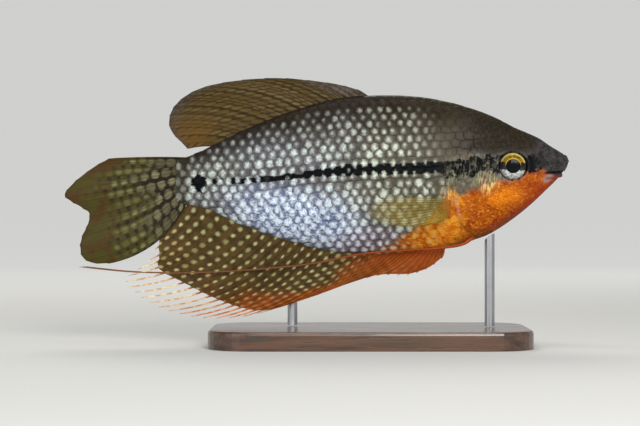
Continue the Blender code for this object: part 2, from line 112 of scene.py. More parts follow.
# %% Body sizes
SNOUT_X = 55.8
SNOUT_TIP = 0.1
STALK_END_X = -28.6
SKIN_END_X = -30.8  # the skin runs on over the tail fin's roots
BACK = ((55.8, 40.9), (55.6, 41.4), (54.7, 42.1), (51.5, 44.1), (49.5, 45.5), (47.4, 46.5),
        (44.0, 47.9), (40.8, 49.6), (32.0, 52.9), (23.0, 54.7), (14.0, 55.1), (5.6, 54.5),
        (-3.2, 52.2), (-16.4, 47.1), (-25.2, 42.8), (-28.6, 41.5), (-30.8, 41.2))
BELLY = ((55.8, 40.2), (55.6, 39.5), (55.1, 38.8), (53.4, 36.6), (51.0, 34.2), (47.4, 30.8),
         (43.0, 27.3), (38.6, 24.5), (32.0, 22.3), (23.0, 20.7), (12.0, 20.0), (4.0, 20.5),
         (-3.2, 22.2), (-16.4, 26.5), (-24.0, 29.9), (-28.6, 30.8), (-30.8, 30.6))
HALF_WIDTH = ((55.8, 0.35), (55.6, 0.85), (54.7, 1.5), (52.6, 2.3), (49.0, 3.25), (44.0, 4.3),
              (40.0, 5.0), (34.0, 5.9), (26.0, 6.5), (17.0, 6.6), (8.0, 6.2), (-3.0, 5.2),
              (-12.0, 4.1), (-20.0, 2.9), (-25.0, 1.8), (-28.6, 0.75), (-30.8, 0.25))
WIDEST_Z = ((55.8, 40.5), (50.0, 38.6), (44.0, 37.6), (34.0, 36.6), (20.0, 36.6), (0.0, 37.6),
            (-16.0, 37.3), (-28.6, 36.2))
TOP_KEEL = ((55.8, 0.9), (44.0, 0.95), (30.0, 1.05), (-28.6, 1.05))
BOTTOM_KEEL = ((55.8, 0.9), (44.0, 1.0), (34.0, 1.1), (24.0, 1.25), (-28.6, 1.25))
SWAY_START_X, SWAY_LENGTH, SWAY_AT_TAIL = 10.0, 66.0, 4.0
GILL_EDGE = ((20.0, 38.0), (23.5, 35.6), (26.5, 32.2), (30.0, 30.7), (34.5, 30.4), (38.5, 31.4),
             (42.5, 33.6), (47.0, 34.8), (56.0, 34.6))  # (z, x)
CHEEK_EDGE = ((28.2, 47.0), (27.6, 43.5), (29.5, 39.6), (33.0, 38.0), (38.0, 38.6))  # (z, x)
MIDLINE = ((52.8, 39.7), (37.4, 39.7), (27.5, 39.0), (5.5, 38.2), (-3.3, 37.3), (-9.9, 36.5),
           (-28.6, 36.0))  # the dark stripe's height
EYE_X, EYE_Y, EYE_Z = 43.1, 3.0, 39.3
EYE_RADIUS, EYE_HALF_DEPTH = 3.05, 1.75
MOUTH_CORNER, MOUTH_FRONT = (50.4, 37.8), (56.4, 38.1)
NOSTRILS = ((49.4, 42.0, 0.3), (47.6, 41.5, 0.36))  # x, z and radius

back, belly, half_width = smooth(BACK), smooth(BELLY), smooth(HALF_WIDTH)
widest_z, top_keel, bottom_keel = smooth(WIDEST_Z), smooth(TOP_KEEL), smooth(BOTTOM_KEEL)
gill_edge, cheek_edge, midline = smooth(GILL_EDGE), smooth(CHEEK_EDGE), smooth(MIDLINE)
print("body", SNOUT_X - STALK_END_X, "mm long without the tail fin")


def sway(x):
    """The tail sweeps a little to the fish's left."""
    return SWAY_AT_TAIL * (np.maximum(SWAY_START_X - x, 0.0) / SWAY_LENGTH) ** 2


def section(x, turn):
    """(x, y, z) of the plain body; turn runs from -pi/2 under the belly to pi/2 on the back."""
    rise = np.sin(turn)
    middle = widest_z(x)
    reach = np.where(rise >= 0, back(x) - middle, middle - belly(x))
    keel = np.where(rise >= 0, top_keel(x), bottom_keel(x))
    y = half_width(x) * np.maximum(np.cos(turn), 0.0) ** keel
    return np.stack(np.broadcast_arrays(x, y, middle + reach * rise), axis=-1)


# %% [markdown]
# ## Folds of the head
# The head isn't smooth: lips round a slit of a mouth, two nostrils, a raised rim round the eye,
# the edge of the gill cover, and the grooves of the cheek bones under it. Sculpting could make
# them, but each is a simple hump or groove, so one formula lifts or sinks the skin by its place
# in the side view. The skin's mesh is fine enough, about a quarter of a millimetre, to hold them.
# All of them fade out at the keel of the throat, so that its outline stays smooth.

# %% Heights of the folds
GILL_STEP, CHEEK_GROOVE = 0.45, 0.4
EYE_RIM, EYE_SOCKET = 0.34, -1.5
UPPER_LIP, OVER_LIP, LOWER_LIP, UNDER_LIP, MOUTH_SLIT = 0.42, -0.22, 0.5, -0.3, -1.0
CORNER_FOLD, CHIN_FOLD = -0.25, -0.18
NOSTRIL_PIT, NOSTRIL_RIM = -0.5, 0.12
print("the gill cover stands", GILL_STEP, "mm up, the mouth is", -MOUTH_SLIT, "mm deep")

# %% Relief of the head


def mouth_height(x, z):
    """How far (x, z) lies above the line of the mouth."""
    run = (x - MOUTH_CORNER[0]) / (MOUTH_FRONT[0] - MOUTH_CORNER[0])
    return z - (MOUTH_CORNER[1] + run * (MOUTH_FRONT[1] - MOUTH_CORNER[1]))


def large_relief(x, z):
    """What the scales follow too: the gill cover and the bones of the cheek."""
    to_edge = x - gill_edge(z)
    cover = GILL_STEP * (1 - fade(to_edge, 2.0, 7.0)) * fade(46.0 - z, 0.0, 5.0)
    cheek = CHEEK_GROOVE * bump_at(x, cheek_edge(z), 0.8) * fade(40.0 - z, 0.0, 3.0)
    return fade(to_edge, -0.25, 0.0) * (cover - cheek) * fade(z - belly(x), 0.3, 2.6)


def eye_relief(x, z):
    from_eye = np.hypot(x - EYE_X, z - EYE_Z)
    rim = EYE_RIM * bump_at(from_eye, EYE_RADIUS + 0.55, 0.55)
    return rim + EYE_SOCKET * (1 - fade(from_eye, EYE_RADIUS - 0.22, EYE_RADIUS + 0.12))


def mouth_relief(x, z):
    """Both lips with a groove above and below them, the slit between, and the chin's fold."""
    height = mouth_height(x, z)
    in_mouth = fade(x, MOUTH_CORNER[0] - 0.3, MOUTH_CORNER[0] + 0.5)
    tip = 1 - fade(x, 54.2, 55.7)
    upper_lip = UPPER_LIP * bump_at(height, 0.75, 0.6) * in_mouth * tip
    lower_lip = LOWER_LIP * bump_at(height, -0.65, 0.45) * in_mouth * (1 - fade(x, 54.6, 55.6))
    under_lip = UNDER_LIP * bump_at(height, -1.45, 0.3) * fade(x, 49.6, 51.0)
    over_lip = OVER_LIP * bump_at(height, 1.9, 0.35) * fade(x, 50.0, 51.5) * tip
    slit = MOUTH_SLIT * bump_at(height, 0.0, 0.16) * in_mouth
    from_corner = np.hypot(x - MOUTH_CORNER[0] + 0.3, (z - 37.3) * 0.6)
    corner_fold = CORNER_FOLD * bump_at(from_corner, 0.0, 0.6)
    chin_fold = CHIN_FOLD * bump_at(z - (0.62 * (x - 36.0) + 22.4), 0.0, 0.3)
    chin_fold = chin_fold * fade(x, 37.0, 40.0) * (1 - fade(x, 45.0, 47.0))
    chin_fold = chin_fold * fade(z - belly(x), 0.3, 2.0)
    return upper_lip + lower_lip + under_lip + over_lip + slit + corner_fold + chin_fold


def nostril_relief(x, z):
    relief = 0.0
    for nostril_x, nostril_z, radius in NOSTRILS:
        apart = np.hypot(x - nostril_x, z - nostril_z)
        pit = NOSTRIL_PIT * bump_at(apart, 0.0, radius)
        relief = relief + pit + NOSTRIL_RIM * bump_at(apart, radius * 1.9, 0.16)
    return relief


def fine_relief(x, z):
    """What only the skin has, where no scales lie."""
    return eye_relief(x, z) + mouth_relief(x, z) + nostril_relief(x, z)


print("the eye's socket is", -round(float(fine_relief(EYE_X, EYE_Z)), 2), "mm deep")

# %% [markdown]
# ## A grid of points over the body
# The skin is a loft: slices from the snout to the root of the tail, each with the same number of
# points. They lie closer together at the snout, where the shape turns fastest. The skin lies a
# tenth of a millimetre inside the solids, which is the depth of the scales on top of it.

# %% Points of the skin
SKIN_INSET = 0.1
HALF_RING = 104  # points from the belly to the back, on one side
round_snout = SNOUT_X - 2.0 * (1 - np.cos(np.linspace(0, math.pi / 2, 17)))
rest_of_body = np.linspace(round_snout[-1], SKIN_END_X, 356)[1:]
STATIONS = np.concatenate([round_snout, rest_of_body])
TURNS = np.linspace(-math.pi / 2, math.pi / 2, HALF_RING + 1)


def grid_normals(points):
    """Outward normals of a left-side grid of points, with the keel lines kept in the middle."""
    along, around = np.gradient(points, axis=0), np.gradient(points, axis=1)
    normals = unit(np.cross(along, around))
    normals[..., 1] = np.abs(normals[..., 1])
    normals[:, 0] = unit(normals[:, 1] * (1, 0, 1))
    normals[:, -1] = unit(normals[:, -2] * (1, 0, 1))
    return normals


plain = section(STATIONS[:, None], TURNS[None, :])
normals = grid_normals(plain)
lift = large_relief(plain[..., 0], plain[..., 2]) - SKIN_INSET
covered = plain + normals * lift[..., None]  # the surface that the scales lie on
detail = fine_relief(plain[..., 0], plain[..., 2])
skin_side = covered + normals * (detail * fade(np.cos(TURNS), 0.0, 0.1))[..., None]
skin_side[..., 1] = np.maximum(skin_side[..., 1], 0.0)
skin_side[:, (0, -1), 1] = 0.0
print("skin grid", skin_side.shape[:2], "on each side")

# %% [markdown]
# ## Where each colour lies
# The male's markings are soft-edged patches: an orange breast, a dark back, a black stripe from
# snout to tail, a violet belly whose silver shine is painted in as a painted reflection. Each is
# kept as a number from 0 to 1 at every point, worked out from the point's place in the side view.
# The skin and the scales call the same function, so their markings always agree. Small patches are
# ellipses, listed by name; the large ones follow the body's own curves.

# %% Sizes of the markings
ORANGE_TOP = ((56.4, 37.5), (51.4, 37.5), (50.2, 38.3), (47.3, 38.7), (44.8, 36.9), (40.7, 36.2),
              (37.4, 35.2), (34.1, 34.0), (30.8, 32.7), (27.5, 31.2), (24.2, 27.8), (20.9, 25.2),
              (17.6, 23.1), (14.3, 21.5), (9.9, 20.5))
PATCHES = {  # the middle (x, z) and radii of each, then how soft its edge is and its tilt
    # The two shine patches carry the silver shine of belly and flank, which is a painted reflection.
    "belly_shine": ((-4.0, 28.0), (14.5, 6.0), 0.75, -0.22),
    "flank_shine": ((-7.0, 40.4), (10.0, 4.0), 0.9, -0.1),
    "lilac": ((12.5, 22.4), (8.5, 3.2), 0.4),
    "chin": ((53.2, 36.8), (3.0, 1.3)),
    "jaw_shade": ((48.6, 34.4), (3.6, 2.6), 0.6),
    "throat_brown_and_shade": ((39.5, 26.0), (8.5, 6.0)),
    "glow": ((41.4, 32.8), (3.8, 1.7), 0.7, 0.3),
    "by_gill": ((29.7, 32.5), (1.0, 1.3), 0.7),
    "stripe_edge": ((31.2, 37.6), (4.0, 1.2)),
    "tail_spot": ((-25.5, 35.8), (1.85, 1.75), 0.25),
    "tail_spot_core": ((-25.5, 35.8), (1.2, 1.1), 0.25),
    "marbled": ((34.5, 38.2), (7.5, 3.4), 0.4),
    "cream_cheek": ((37.6, 35.6), (2.1, 2.1)),
    "cream_gill": ((28.9, 33.2), (1.7, 2.0)),
    "plum_low": ((33.8, 34.5), (2.4, 3.4)),
    "plum_high": ((33.4, 40.6), (1.6, 1.4)),
    "lore": ((48.6, 40.6), (1.9, 1.6)),
    "pale_lip": ((50.9, 36.7), (1.2, 0.8), 0.5, 0.6),
}
orange_top = smooth(ORANGE_TOP)
print(len(PATCHES), "patches")

# %% Noise and patches


def wobble(x, z, size, seed):
    """A cheap smooth noise between about -1 and 1, from a few crossing waves."""
    total = 0.0
    for k in range(5):
        angle = seed * 1.7 + k * 2.4
        phase = seed * 3.1 + k * 1.9
        pitch = size * (0.6 + 0.25 * k)
        across = x * math.cos(angle) + z * math.sin(angle)
        total = total + np.sin(across * 2 * math.pi / pitch + phase)
    return total / 3.0


def ragged(x, z):
    """A shift in millimetres that makes an edge ragged."""
    return 0.5 * wobble(x, z, 1.7, 9)


def ellipse(x, z, middle, radii, soft=0.5, tilt=0.0):
    """1 inside an ellipse with the given middle and radii, fading out over soft of its radius."""
    dx, dz = x - middle[0], z - middle[1]
    u = dx * math.cos(tilt) + dz * math.sin(tilt)
    v = dz * math.cos(tilt) - dx * math.sin(tilt)
    return 1 - fade(np.hypot(u / radii[0], v / radii[1]), 1 - soft, 1 + soft)


def patch(name, x, z):
    """One of the named patches, from 0 to 1."""
    return ellipse(x, z, *PATCHES[name])


print("middle of the tail's spot:", float(patch("tail_spot", -25.5, 35.8)))


# %% Maps of the markings


def body_maps(x, z):
    """Breast, back, nape and the shining belly."""
    rise = z - belly(x)
    height = rise / (back(x) - belly(x))
    below_orange = orange_top(x) - z + 0.5 * wobble(x, z, 3.0, 1)
    by_gill = 0.85 * patch("by_gill", x + 0.4 * ragged(x, z), z)
    # Deeper red: the lower lip's own red on the chin, and on the jaw and along the head's lower edge
    # partly the fish's own red, partly painted shade where the head turns under.
    red = fade(1.0 - rise / 4.6, 0.0, 0.9) * fade(x, 36.0, 44.0)
    red = np.maximum(red, np.maximum(patch("chin", x, z), 0.6 * patch("jaw_shade", x, z)))
    dusk = fade(height + 0.04 * wobble(x, z, 6.0, 5), 0.55, 0.97)
    lilac = patch("lilac", x, z)
    return {
        "warm": np.maximum(fade(below_orange, -1.0, 1.3) * fade(x, 8.0, 22.0), by_gill),
        "glow": np.maximum(patch("glow", x, z), by_gill),
        "red": red,
        # Darker towards the throat's underside: mostly painted shade where it turns under, partly its
        # own red-brown.
        "throat_brown_and_shade": fade(1.0 - rise / 3.2, 0.0, 1.0) * patch("throat_brown_and_shade", x, z),
        "dusk": np.maximum(dusk, fade(z, 40.0, 43.5) * fade(x, 22.0, 36.0)),
        "nape": fade(x, 13.0, 27.0) * fade(z, 38.8, 43.0) * (1 - fade(x, 46.0, 51.0)),
        # sheen: the belly's violet tone and its painted silver reflection
        "sheen": np.maximum(patch("belly_shine", x, z), 0.2 * patch("flank_shine", x, z)),
        "lilac": lilac,
        "front": fade(x, 4.0, 16.0) * (1 - fade(x, 30.0, 34.0)) * (1 - lilac),
        "tail": 1 - fade(x + 0.3 * ragged(x, z), -28.4, -27.5),
    }


def stripe_maps(x, z):
    """The black stripe, thin and broken behind, wide and blotched on the head, and its spot."""
    width = 0.58 + 0.2 * fade(x, -9.0, -2.0) + 0.4 * fade(x, -1.0, 8.0)
    width = width + 0.55 * fade(x, 29.0, 33.0) + 0.3 * fade(x, 35.0, 37.0)
    waver = 0.15 + 0.35 * fade(x, 28.0, 33.0)
    from_mid = np.abs(z - midline(x) + waver * wobble(x, z, 2.6, 3))
    whole = fade(x, -1.0, 5.0)
    broken = fade(wobble(x, z, 3.1, 4), -0.9, -0.2) * (1 - whole) + whole
    blotches = 0.6 + 0.4 * fade(wobble(x, z, 4.2, 2), -0.7, 0.1)
    on_head = fade(x, 28.5, 31.0) * (1 - 0.78 * blotches)
    stripe = (1 - fade(from_mid, width * 0.4, width * 1.6)) * broken * (1 - on_head)
    stripe = stripe * fade(x, -24.0, -21.0)
    stripe = stripe * (1 - 0.85 * fade(x + 0.6 * wobble(x, z, 1.6, 7), 46.8, 51.0))
    shift = ragged(x, z)
    edge = 0.75 * blotches * patch("stripe_edge", x + shift, z - shift)
    spot = patch("tail_spot", x + shift, z - shift)
    return {"stripe": np.maximum(np.maximum(stripe, edge), spot),
            "core": patch("tail_spot_core", x + shift, z - shift)}


def head_maps(x, z):
    """The slate snout, patches of cheek and gill cover, and a painted highlight on the cover's edge.
    """
    # A painted highlight along the gill cover's edge.
    gill_rim_highlight = bump_at(x, gill_edge(z) + 0.2, 0.28) * fade(z, 27.4, 29.0)
    return {
        "slate": fade(x, 46.0, 50.5) * fade(z - orange_top(x), -0.3, 0.5),
        "cream": patch("cream_cheek", x, z) + 0.6 * patch("cream_gill", x, z),
        "plum": np.maximum(patch("plum_low", x, z), patch("plum_high", x, z)),
        "marbled": patch("marbled", x, z) * fade(x, 26.0, 29.0),
        "lore": patch("lore", x + 0.5 * ragged(x, z), z),
        "pale_lip": patch("pale_lip", x, z),
        "gill_rim_highlight": gill_rim_highlight * (1 - fade(z, 31.6, 32.8)),
    }


def markings(x, z):
    """The maps of all the fish's colours at (x, z), each from 0 to 1."""
    return body_maps(x, z) | stripe_maps(x, z) | head_maps(x, z)


print("markings:", ", ".join(markings(np.array([0.0]), np.array([36.0]))))

# %% [markdown]
# ## Meshes from grids
# Most pieces here are grids of points: the skin, the fins and each scale. One helper makes a mesh
# of them with the maps of the markings as named attributes, which a material can read, and with
# the texture layout named OFBake. Then it rides on the model's one body and stands for the solids
# that it covers. Tubes of rings and thin sheets come back several times, so each has a helper for
# its faces.

# %% Make a piece


def make_piece(name, points, faces, corners, maps, material, stands_for=()):
    """points in millimetres, faces as rows of indices, corners as (u, v) for each face corner."""
    mesh = bpy.data.meshes.new(name)
    mesh.from_pydata((points * MM).tolist(), [], [list(face) for face in faces])
    for key, values in maps.items():
        attribute = mesh.attributes.new(key, "FLOAT", "POINT")
        attribute.data.foreach_set("value", np.ascontiguousarray(values, dtype=np.float32).ravel())
    layer = mesh.uv_layers.new(name="OFBake")
    flat = np.concatenate([np.asarray(corner, dtype=np.float32).ravel() for corner in corners])
    layer.data.foreach_set("uv", flat)
    mesh.materials.append(material)
    mesh.shade_smooth()
    piece = bpy.data.objects.new(name, mesh)
    bpy.context.scene.collection.objects.link(piece)
    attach(piece, "root")
    if stands_for:
        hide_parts(*stands_for)
    print(name, len(mesh.vertices), "points,", len(mesh.polygons), "faces, in", material.name)
    return piece


def sided(points, side):
    """A copy of left-side points on the given side, swept with the tail."""
    moved = points.copy()
    moved[..., 1] = side * moved[..., 1] + sway(moved[..., 0])
    return moved


# %% Faces of tubes and sheets


def tube_faces(rings, around):
    """Quads between rings of points, and (u, v) from 0 to 1 for each of their corners."""
    ring, k = np.meshgrid(np.arange(rings - 1), np.arange(around), indexing="ij")
    after = (k + 1) % around
    quads = np.stack([ring * around + k, ring * around + after,
                      (ring + 1) * around + after, (ring + 1) * around + k], -1)
    u0, u1 = ring / rings, (ring + 1) / rings
    v0, v1 = k / around, (k + 1) / around
    corners = np.stack([u0, v0, u0, v1, u1, v1, u1, v0], -1)
    return quads.reshape(-1, 4), corners.reshape(-1, 4, 2)


def turned_over(rows):
    """The same faces seen from the other side, each still starting at its first corner."""
    return np.roll(rows[:, ::-1], 1, axis=1)


def rim_of(quads):
    """The edges that only one face has, in that face's direction."""
    edges = np.concatenate([quads[:, (k, (k + 1) % 4)] for k in range(4)])
    low, high = edges.min(axis=1), edges.max(axis=1)
    key = low.astype(np.int64) * (edges.max() + 1) + high
    _, first, count = np.unique(key, return_index=True, return_counts=True)
    return edges[first[count == 1]]


def sheet_faces(quads, offset):
    """Both faces of a thin sheet and its rim; the back's points come offset after the front's."""
    rim = rim_of(quads)
    rim = np.stack([rim[:, 1], rim[:, 0], rim[:, 0] + offset, rim[:, 1] + offset], -1)
    return np.concatenate([quads, quads[:, ::-1] + offset, rim])


print("a sheet of one quad has", len(sheet_faces(np.array([[0, 1, 2, 3]]), 4)), "faces")

# %% [markdown]
# ## Shader maths in plain Python
# A material is a graph of nodes, and long sums of Math nodes are hard to read when they are wired
# one by one. A Wire stands for one output socket and overloads + - * and /, so that 1 - mask adds
# the right node by itself. A Finish is one material. Its node method makes any other node,
# settings first and then inputs, and its layers method lays colours one over another.

# %% Wires


class Wire:
    """An output socket that takes part in sums."""

    def __init__(self, finish, socket):
        self.finish, self.socket = finish, socket

    def math(self, operation, *values):
        return self.finish.number(operation, self, *values)

    def __add__(self, other):
        return self.math("ADD", other)

    def __sub__(self, other):
        return self.math("SUBTRACT", other)

    def __mul__(self, other):
        return self.math("MULTIPLY", other)

    def __truediv__(self, other):
        return self.math("DIVIDE", other)

    def __rsub__(self, other):
        return self.finish.number("SUBTRACT", other, self)

    __radd__ = __add__
    __rmul__ = __mul__

    def fade(self, low, high):
        """0 below low and 1 above high, as the fade for arrays."""
        if low > high:
            return 1 - self.fade(high, low)
        settings = {"interpolation_type": "SMOOTHSTEP"}
        return self.finish.node("ShaderNodeMapRange", settings, {0: self, 1: low, 2: high})


# %% Finishes


class Finish:
    """One material and the nodes in it."""

    def __init__(self, name, roughness=0.4, **constants):
        self.material = bpy.data.materials.new(name)
        self.material.use_nodes = True
        self.tree = self.material.node_tree
        self.shader = self.tree.nodes["Principled BSDF"]
        self.set(Roughness=roughness, **constants)

    def node(self, kind, settings=None, inputs=None, output=0):
        made = self.tree.nodes.new(kind)
        for key, value in (settings or {}).items():
            setattr(made, key, value)
        self.fill(made, inputs or {})
        return Wire(self, made.outputs[output])

    def fill(self, made, inputs):
        for key, value in inputs.items():
            if isinstance(value, Wire):
                self.tree.links.new(value.socket, made.inputs[key])
            else:
                made.inputs[key].default_value = value

    def set(self, **inputs):
        """Feeds the shader's sockets; an underscore in a name stands for a space."""
        self.fill(self.shader, {key.replace("_", " "): value for key, value in inputs.items()})

    def number(self, operation, *values):
        return self.node("ShaderNodeMath", {"operation": operation}, dict(enumerate(values)))

    def map(self, name):
        """A number that the mesh carries at each point."""
        return self.node("ShaderNodeAttribute", {"attribute_name": name}, output=2)

    def place(self, stretch=(1, 1, 1)):
        """The place on the object in millimetres, stretched along each axis."""
        at = self.node("ShaderNodeTexCoord", output=3)
        scale = tuple(value / MM for value in stretch)
        return self.node("ShaderNodeVectorMath", {"operation": "MULTIPLY"}, {0: at, 1: scale})

    def noise(self, pitch, detail=2.0, stretch=(1, 1, 1), roughness=0.5):
        """Smooth noise from 0 to 1 whose lumps are about pitch millimetres across."""
        inputs = {"Vector": self.place(stretch), "Scale": 1 / pitch, "Detail": detail}
        return self.node("ShaderNodeTexNoise", {}, inputs | {"Roughness": roughness})

    def cells(self, pitch, stretch=(1, 1, 1)):
        """The distance to the nearest of many scattered points, about pitch apart."""
        inputs = {"Vector": self.place(stretch), "Scale": 1 / pitch}
        return self.node("ShaderNodeTexVoronoi", {}, inputs)

    def mix(self, share, first, second):
        """The colour first where share is 0 and second where it is 1."""
        settings = {"data_type": "RGBA", "clamp_factor": True}
        return self.node("ShaderNodeMix", settings, {0: share, 6: first, 7: second}, output=2)

    def layers(self, colour, *rows):
        """Lays colours over the first one; each row is how much of it shows, and the colour."""
        for share, top in rows:
            colour = self.mix(share, colour, top)
        return colour

    def bumps(self, height, strength, distance):
        """Feeds fine bumps to the shader; distance is their height in millimetres."""
        inputs = {"Height": height, "Strength": strength, "Distance": distance * MM}
        self.set(Normal=self.node("ShaderNodeBump", {}, inputs))


def tint(red, green, blue):
    """A colour given as on screen, 0 to 255, in the linear values that a shader takes."""
    def linear(value):
        value = value / 255
        return value / 12.92 if value <= 0.04045 else ((value + 0.055) / 1.055) ** 2.4
    return (linear(red), linear(green), linear(blue), 1.0)


print("middle grey is", round(tint(128, 128, 128)[0], 3), "in linear light")

# %% [markdown]
# ## The fish's colours
# Skin and scales both start from the same colours, laid one over another, each where its map
# says: the grey-brown flank first, then the breast, and the head's small patches last. A little
# noise breaks up every edge and every flat patch, because living skin is never one even colour.
# A picture wrapped round the fish could hold the colours too, but noise stays sharp however near
# the eye comes.

# %% Colours of flank and back


def flank_colour(finish, grain, mottle):
    """Grey-brown, olive in front, dark along the back and blue-violet on the belly."""
    flecks = finish.noise(0.42, 2.0, (1.0, 1.0, 0.4)).fade(0.46, 0.64)
    nape = finish.map("nape")
    return finish.layers(
        finish.mix(mottle, tint(84, 78, 75), tint(104, 104, 104)),
        (grain.fade(0.35, 0.65) * 0.55, tint(64, 56, 48)),
        (flecks * (0.26 - nape * 0.22), tint(134, 138, 138)),
        (finish.map("front") * 0.6, finish.mix(grain, tint(62, 55, 34), tint(90, 84, 58))),
        (finish.map("dusk") * 0.94, finish.mix(mottle, tint(22, 15, 8), tint(36, 27, 15))),
        (flecks * nape * 0.3, tint(64, 60, 38)),
        (finish.map("sheen") * 0.8,
         finish.mix(mottle.fade(0.35, 0.65), tint(92, 96, 124), tint(128, 138, 172))),
        (finish.map("plum") * 0.75, finish.mix(grain, tint(56, 43, 34), tint(98, 80, 62))),
        (finish.map("lilac") * 0.7, finish.mix(grain, tint(92, 74, 76), tint(130, 112, 116))))


# %% Colours of the breast


def breast_colour(finish, grain):
    """Patches of gold and rust, brighter on the cheek, under a fine net and bright specks, partly
    golden flecks and partly painted wet glints.
    """
    front = finish.map("front")
    gold = finish.mix(grain.fade(0.3, 0.7), tint(160, 78, 4), tint(186, 108, 12))
    rust = finish.mix(grain.fade(0.35, 0.65), tint(128, 46, 4), tint(158, 66, 7))
    bright = finish.mix(grain, tint(216, 112, 4), tint(232, 142, 20))
    lumps = finish.noise(1.9, 3.0).fade(0.4, 0.6)
    # Bright specks: partly golden flecks of the skin, partly painted wet glints.
    gold_flecks_and_glints = finish.noise(0.5, 2.0, (0.7, 1.0, 1.3)).fade(0.57, 0.66)
    net = finish.noise(0.8, 4.0, (0.8, 1.0, 1.0), 0.7)
    net = net.fade(0.42, 0.49) * net.fade(0.56, 0.5)
    return finish.layers(
        finish.mix(finish.noise(1.7, 4.0, (1, 1, 1), 0.7).fade(0.36, 0.62), rust, gold),
        (finish.map("glow") * 0.8, bright),
        (front * 0.75, finish.mix(lumps, tint(198, 102, 8), tint(234, 160, 46))),
        (net * (0.5 - front * 0.3), tint(132, 48, 6)),
        (gold_flecks_and_glints * 0.5, tint(228, 152, 78)))


# %% All the ground colours


def ground_colour(finish):
    """The colours of all the markings, without the pearls and the stripe."""
    grain, mottle = finish.noise(0.55, 3.0), finish.noise(2.6, 2.0)
    streaks = finish.noise(0.4, 2.0, (1.0, 1.0, 0.3))
    cream = finish.mix(streaks.fade(0.4, 0.62), tint(188, 120, 40), tint(226, 202, 132))
    veins = finish.noise(0.45, 3.0, (0.6, 1.0, 1.2)).fade(0.35, 0.65)
    marble = finish.layers(
        finish.mix(finish.noise(1.3, 2.0).fade(0.4, 0.6), tint(76, 66, 70), tint(112, 112, 88)),
        (streaks.fade(0.5, 0.66), tint(142, 144, 106)))
    slate = finish.layers(
        finish.mix(veins, tint(32, 31, 28), tint(56, 54, 54)),
        (finish.noise(1.1, 3.0).fade(0.5, 0.62) * 0.6, tint(70, 60, 68)))
    return finish.layers(
        flank_colour(finish, grain, mottle),
        (finish.map("warm"), breast_colour(finish, grain)),
        # Deeper red: the lip's own red, with painted shade mixed in on the jaw and along the head's
        # lower edge.
        (finish.map("red") * 0.8, tint(136, 38, 5)),
        # Painted highlight along the gill cover's edge.
        (finish.map("gill_rim_highlight") * 0.6, tint(190, 132, 118)),
        # Painted shade, over a little of the throat's own red-brown, where the throat turns under.
        (finish.map("throat_brown_and_shade") * 0.7, tint(98, 44, 18)),
        (finish.map("cream") * streaks.fade(0.3, 0.58) * 0.8, cream),
        (finish.map("marbled") * (1 - finish.map("warm")) * 0.65, marble),
        (finish.map("slate"), slate),
        (finish.map("tail") * 0.85, tint(44, 38, 27)),
        (finish.map("lore") * 0.8, tint(20, 20, 15)),
        (finish.map("pale_lip") * 0.7, tint(150, 128, 122)))


# %% The stripe
STRIPE_BLACK = tint(9, 10, 12)


def stripe_mask(finish):
    """The black stripe, with ragged edges and, on the head, paler streaks through it."""
    streaks = finish.noise(0.5, 2.0, (1.0, 1.0, 0.4)).fade(0.5, 0.62) * finish.map("marbled")
    rough = (finish.noise(0.8, 3.0) - 0.3) * 1.1
    return (finish.map("stripe") - rough).fade(0.1, 0.32) * (1 - streaks * 0.5)


print("the stripe's black, in linear light:", [round(value, 4) for value in STRIPE_BLACK[:3]])


# %% [markdown]
# ## The skin
# One mesh runs from the lips to the root of the tail, so no seam shows where the solids part. It
# is bare on the snout and round the eyes, and under the scales everywhere else. Its gloss is the
# mucus that covers a fish: a thin clear coat over a fairly smooth base.

# %% Material of the skin


def skin_finish():
    finish = Finish("fish_skin", 0.36, Coat_Weight=0.08, Coat_Roughness=0.12, IOR=1.42,
                    Specular_IOR_Level=0.1)
    # The mouth's slit and the nostrils' pits get painted shade.
    finish.set(Base_Color=finish.layers(ground_colour(finish), (stripe_mask(finish), STRIPE_BLACK),
                                        (finish.map("mouth"), tint(30, 16, 14))))
    finish.set(Roughness=0.3 + finish.noise(0.9, 2.0) * 0.22)
    grit = finish.noise(0.28, 2.0)
    finish.bumps(grit + finish.cells(0.75, (1, 1, 1.4)) * 0.7, 0.35, 0.06)
    return finish


# %% Skin


def ring_points(side_grid):
    """Closes the left-side grid into rings: down the right side, then up the left."""
    right = sided(side_grid, RIGHT)[:, ::-1]
    left = sided(side_grid, LEFT)[:, 1:-1]
    return np.concatenate([right, left], axis=1)


def skin_maps(x, z):
    """The markings, painted shade in the mouth's slit and the nostrils' pits, and a black ring round
    each eye.
    """
    maps = markings(x, z)
    in_mouth = fade(x, MOUTH_CORNER[0] - 0.2, MOUTH_CORNER[0] + 0.3)
    # Painted shade in the mouth's slit and the nostrils' pits.
    maps["mouth"] = bump_at(mouth_height(x, z), 0.0, 0.17) * in_mouth
    for nostril_x, nostril_z, radius in NOSTRILS:
        pit = 1 - fade(np.hypot(x - nostril_x, z - nostril_z), radius * 0.4, radius * 1.1)
        maps["mouth"] = np.maximum(maps["mouth"], pit)
    from_rim = np.abs(np.hypot(x - EYE_X, z - EYE_Z) - EYE_RADIUS)
    maps["stripe"] = np.maximum(maps["stripe"], 1 - fade(from_rim, 0.02, 0.16))
    return maps


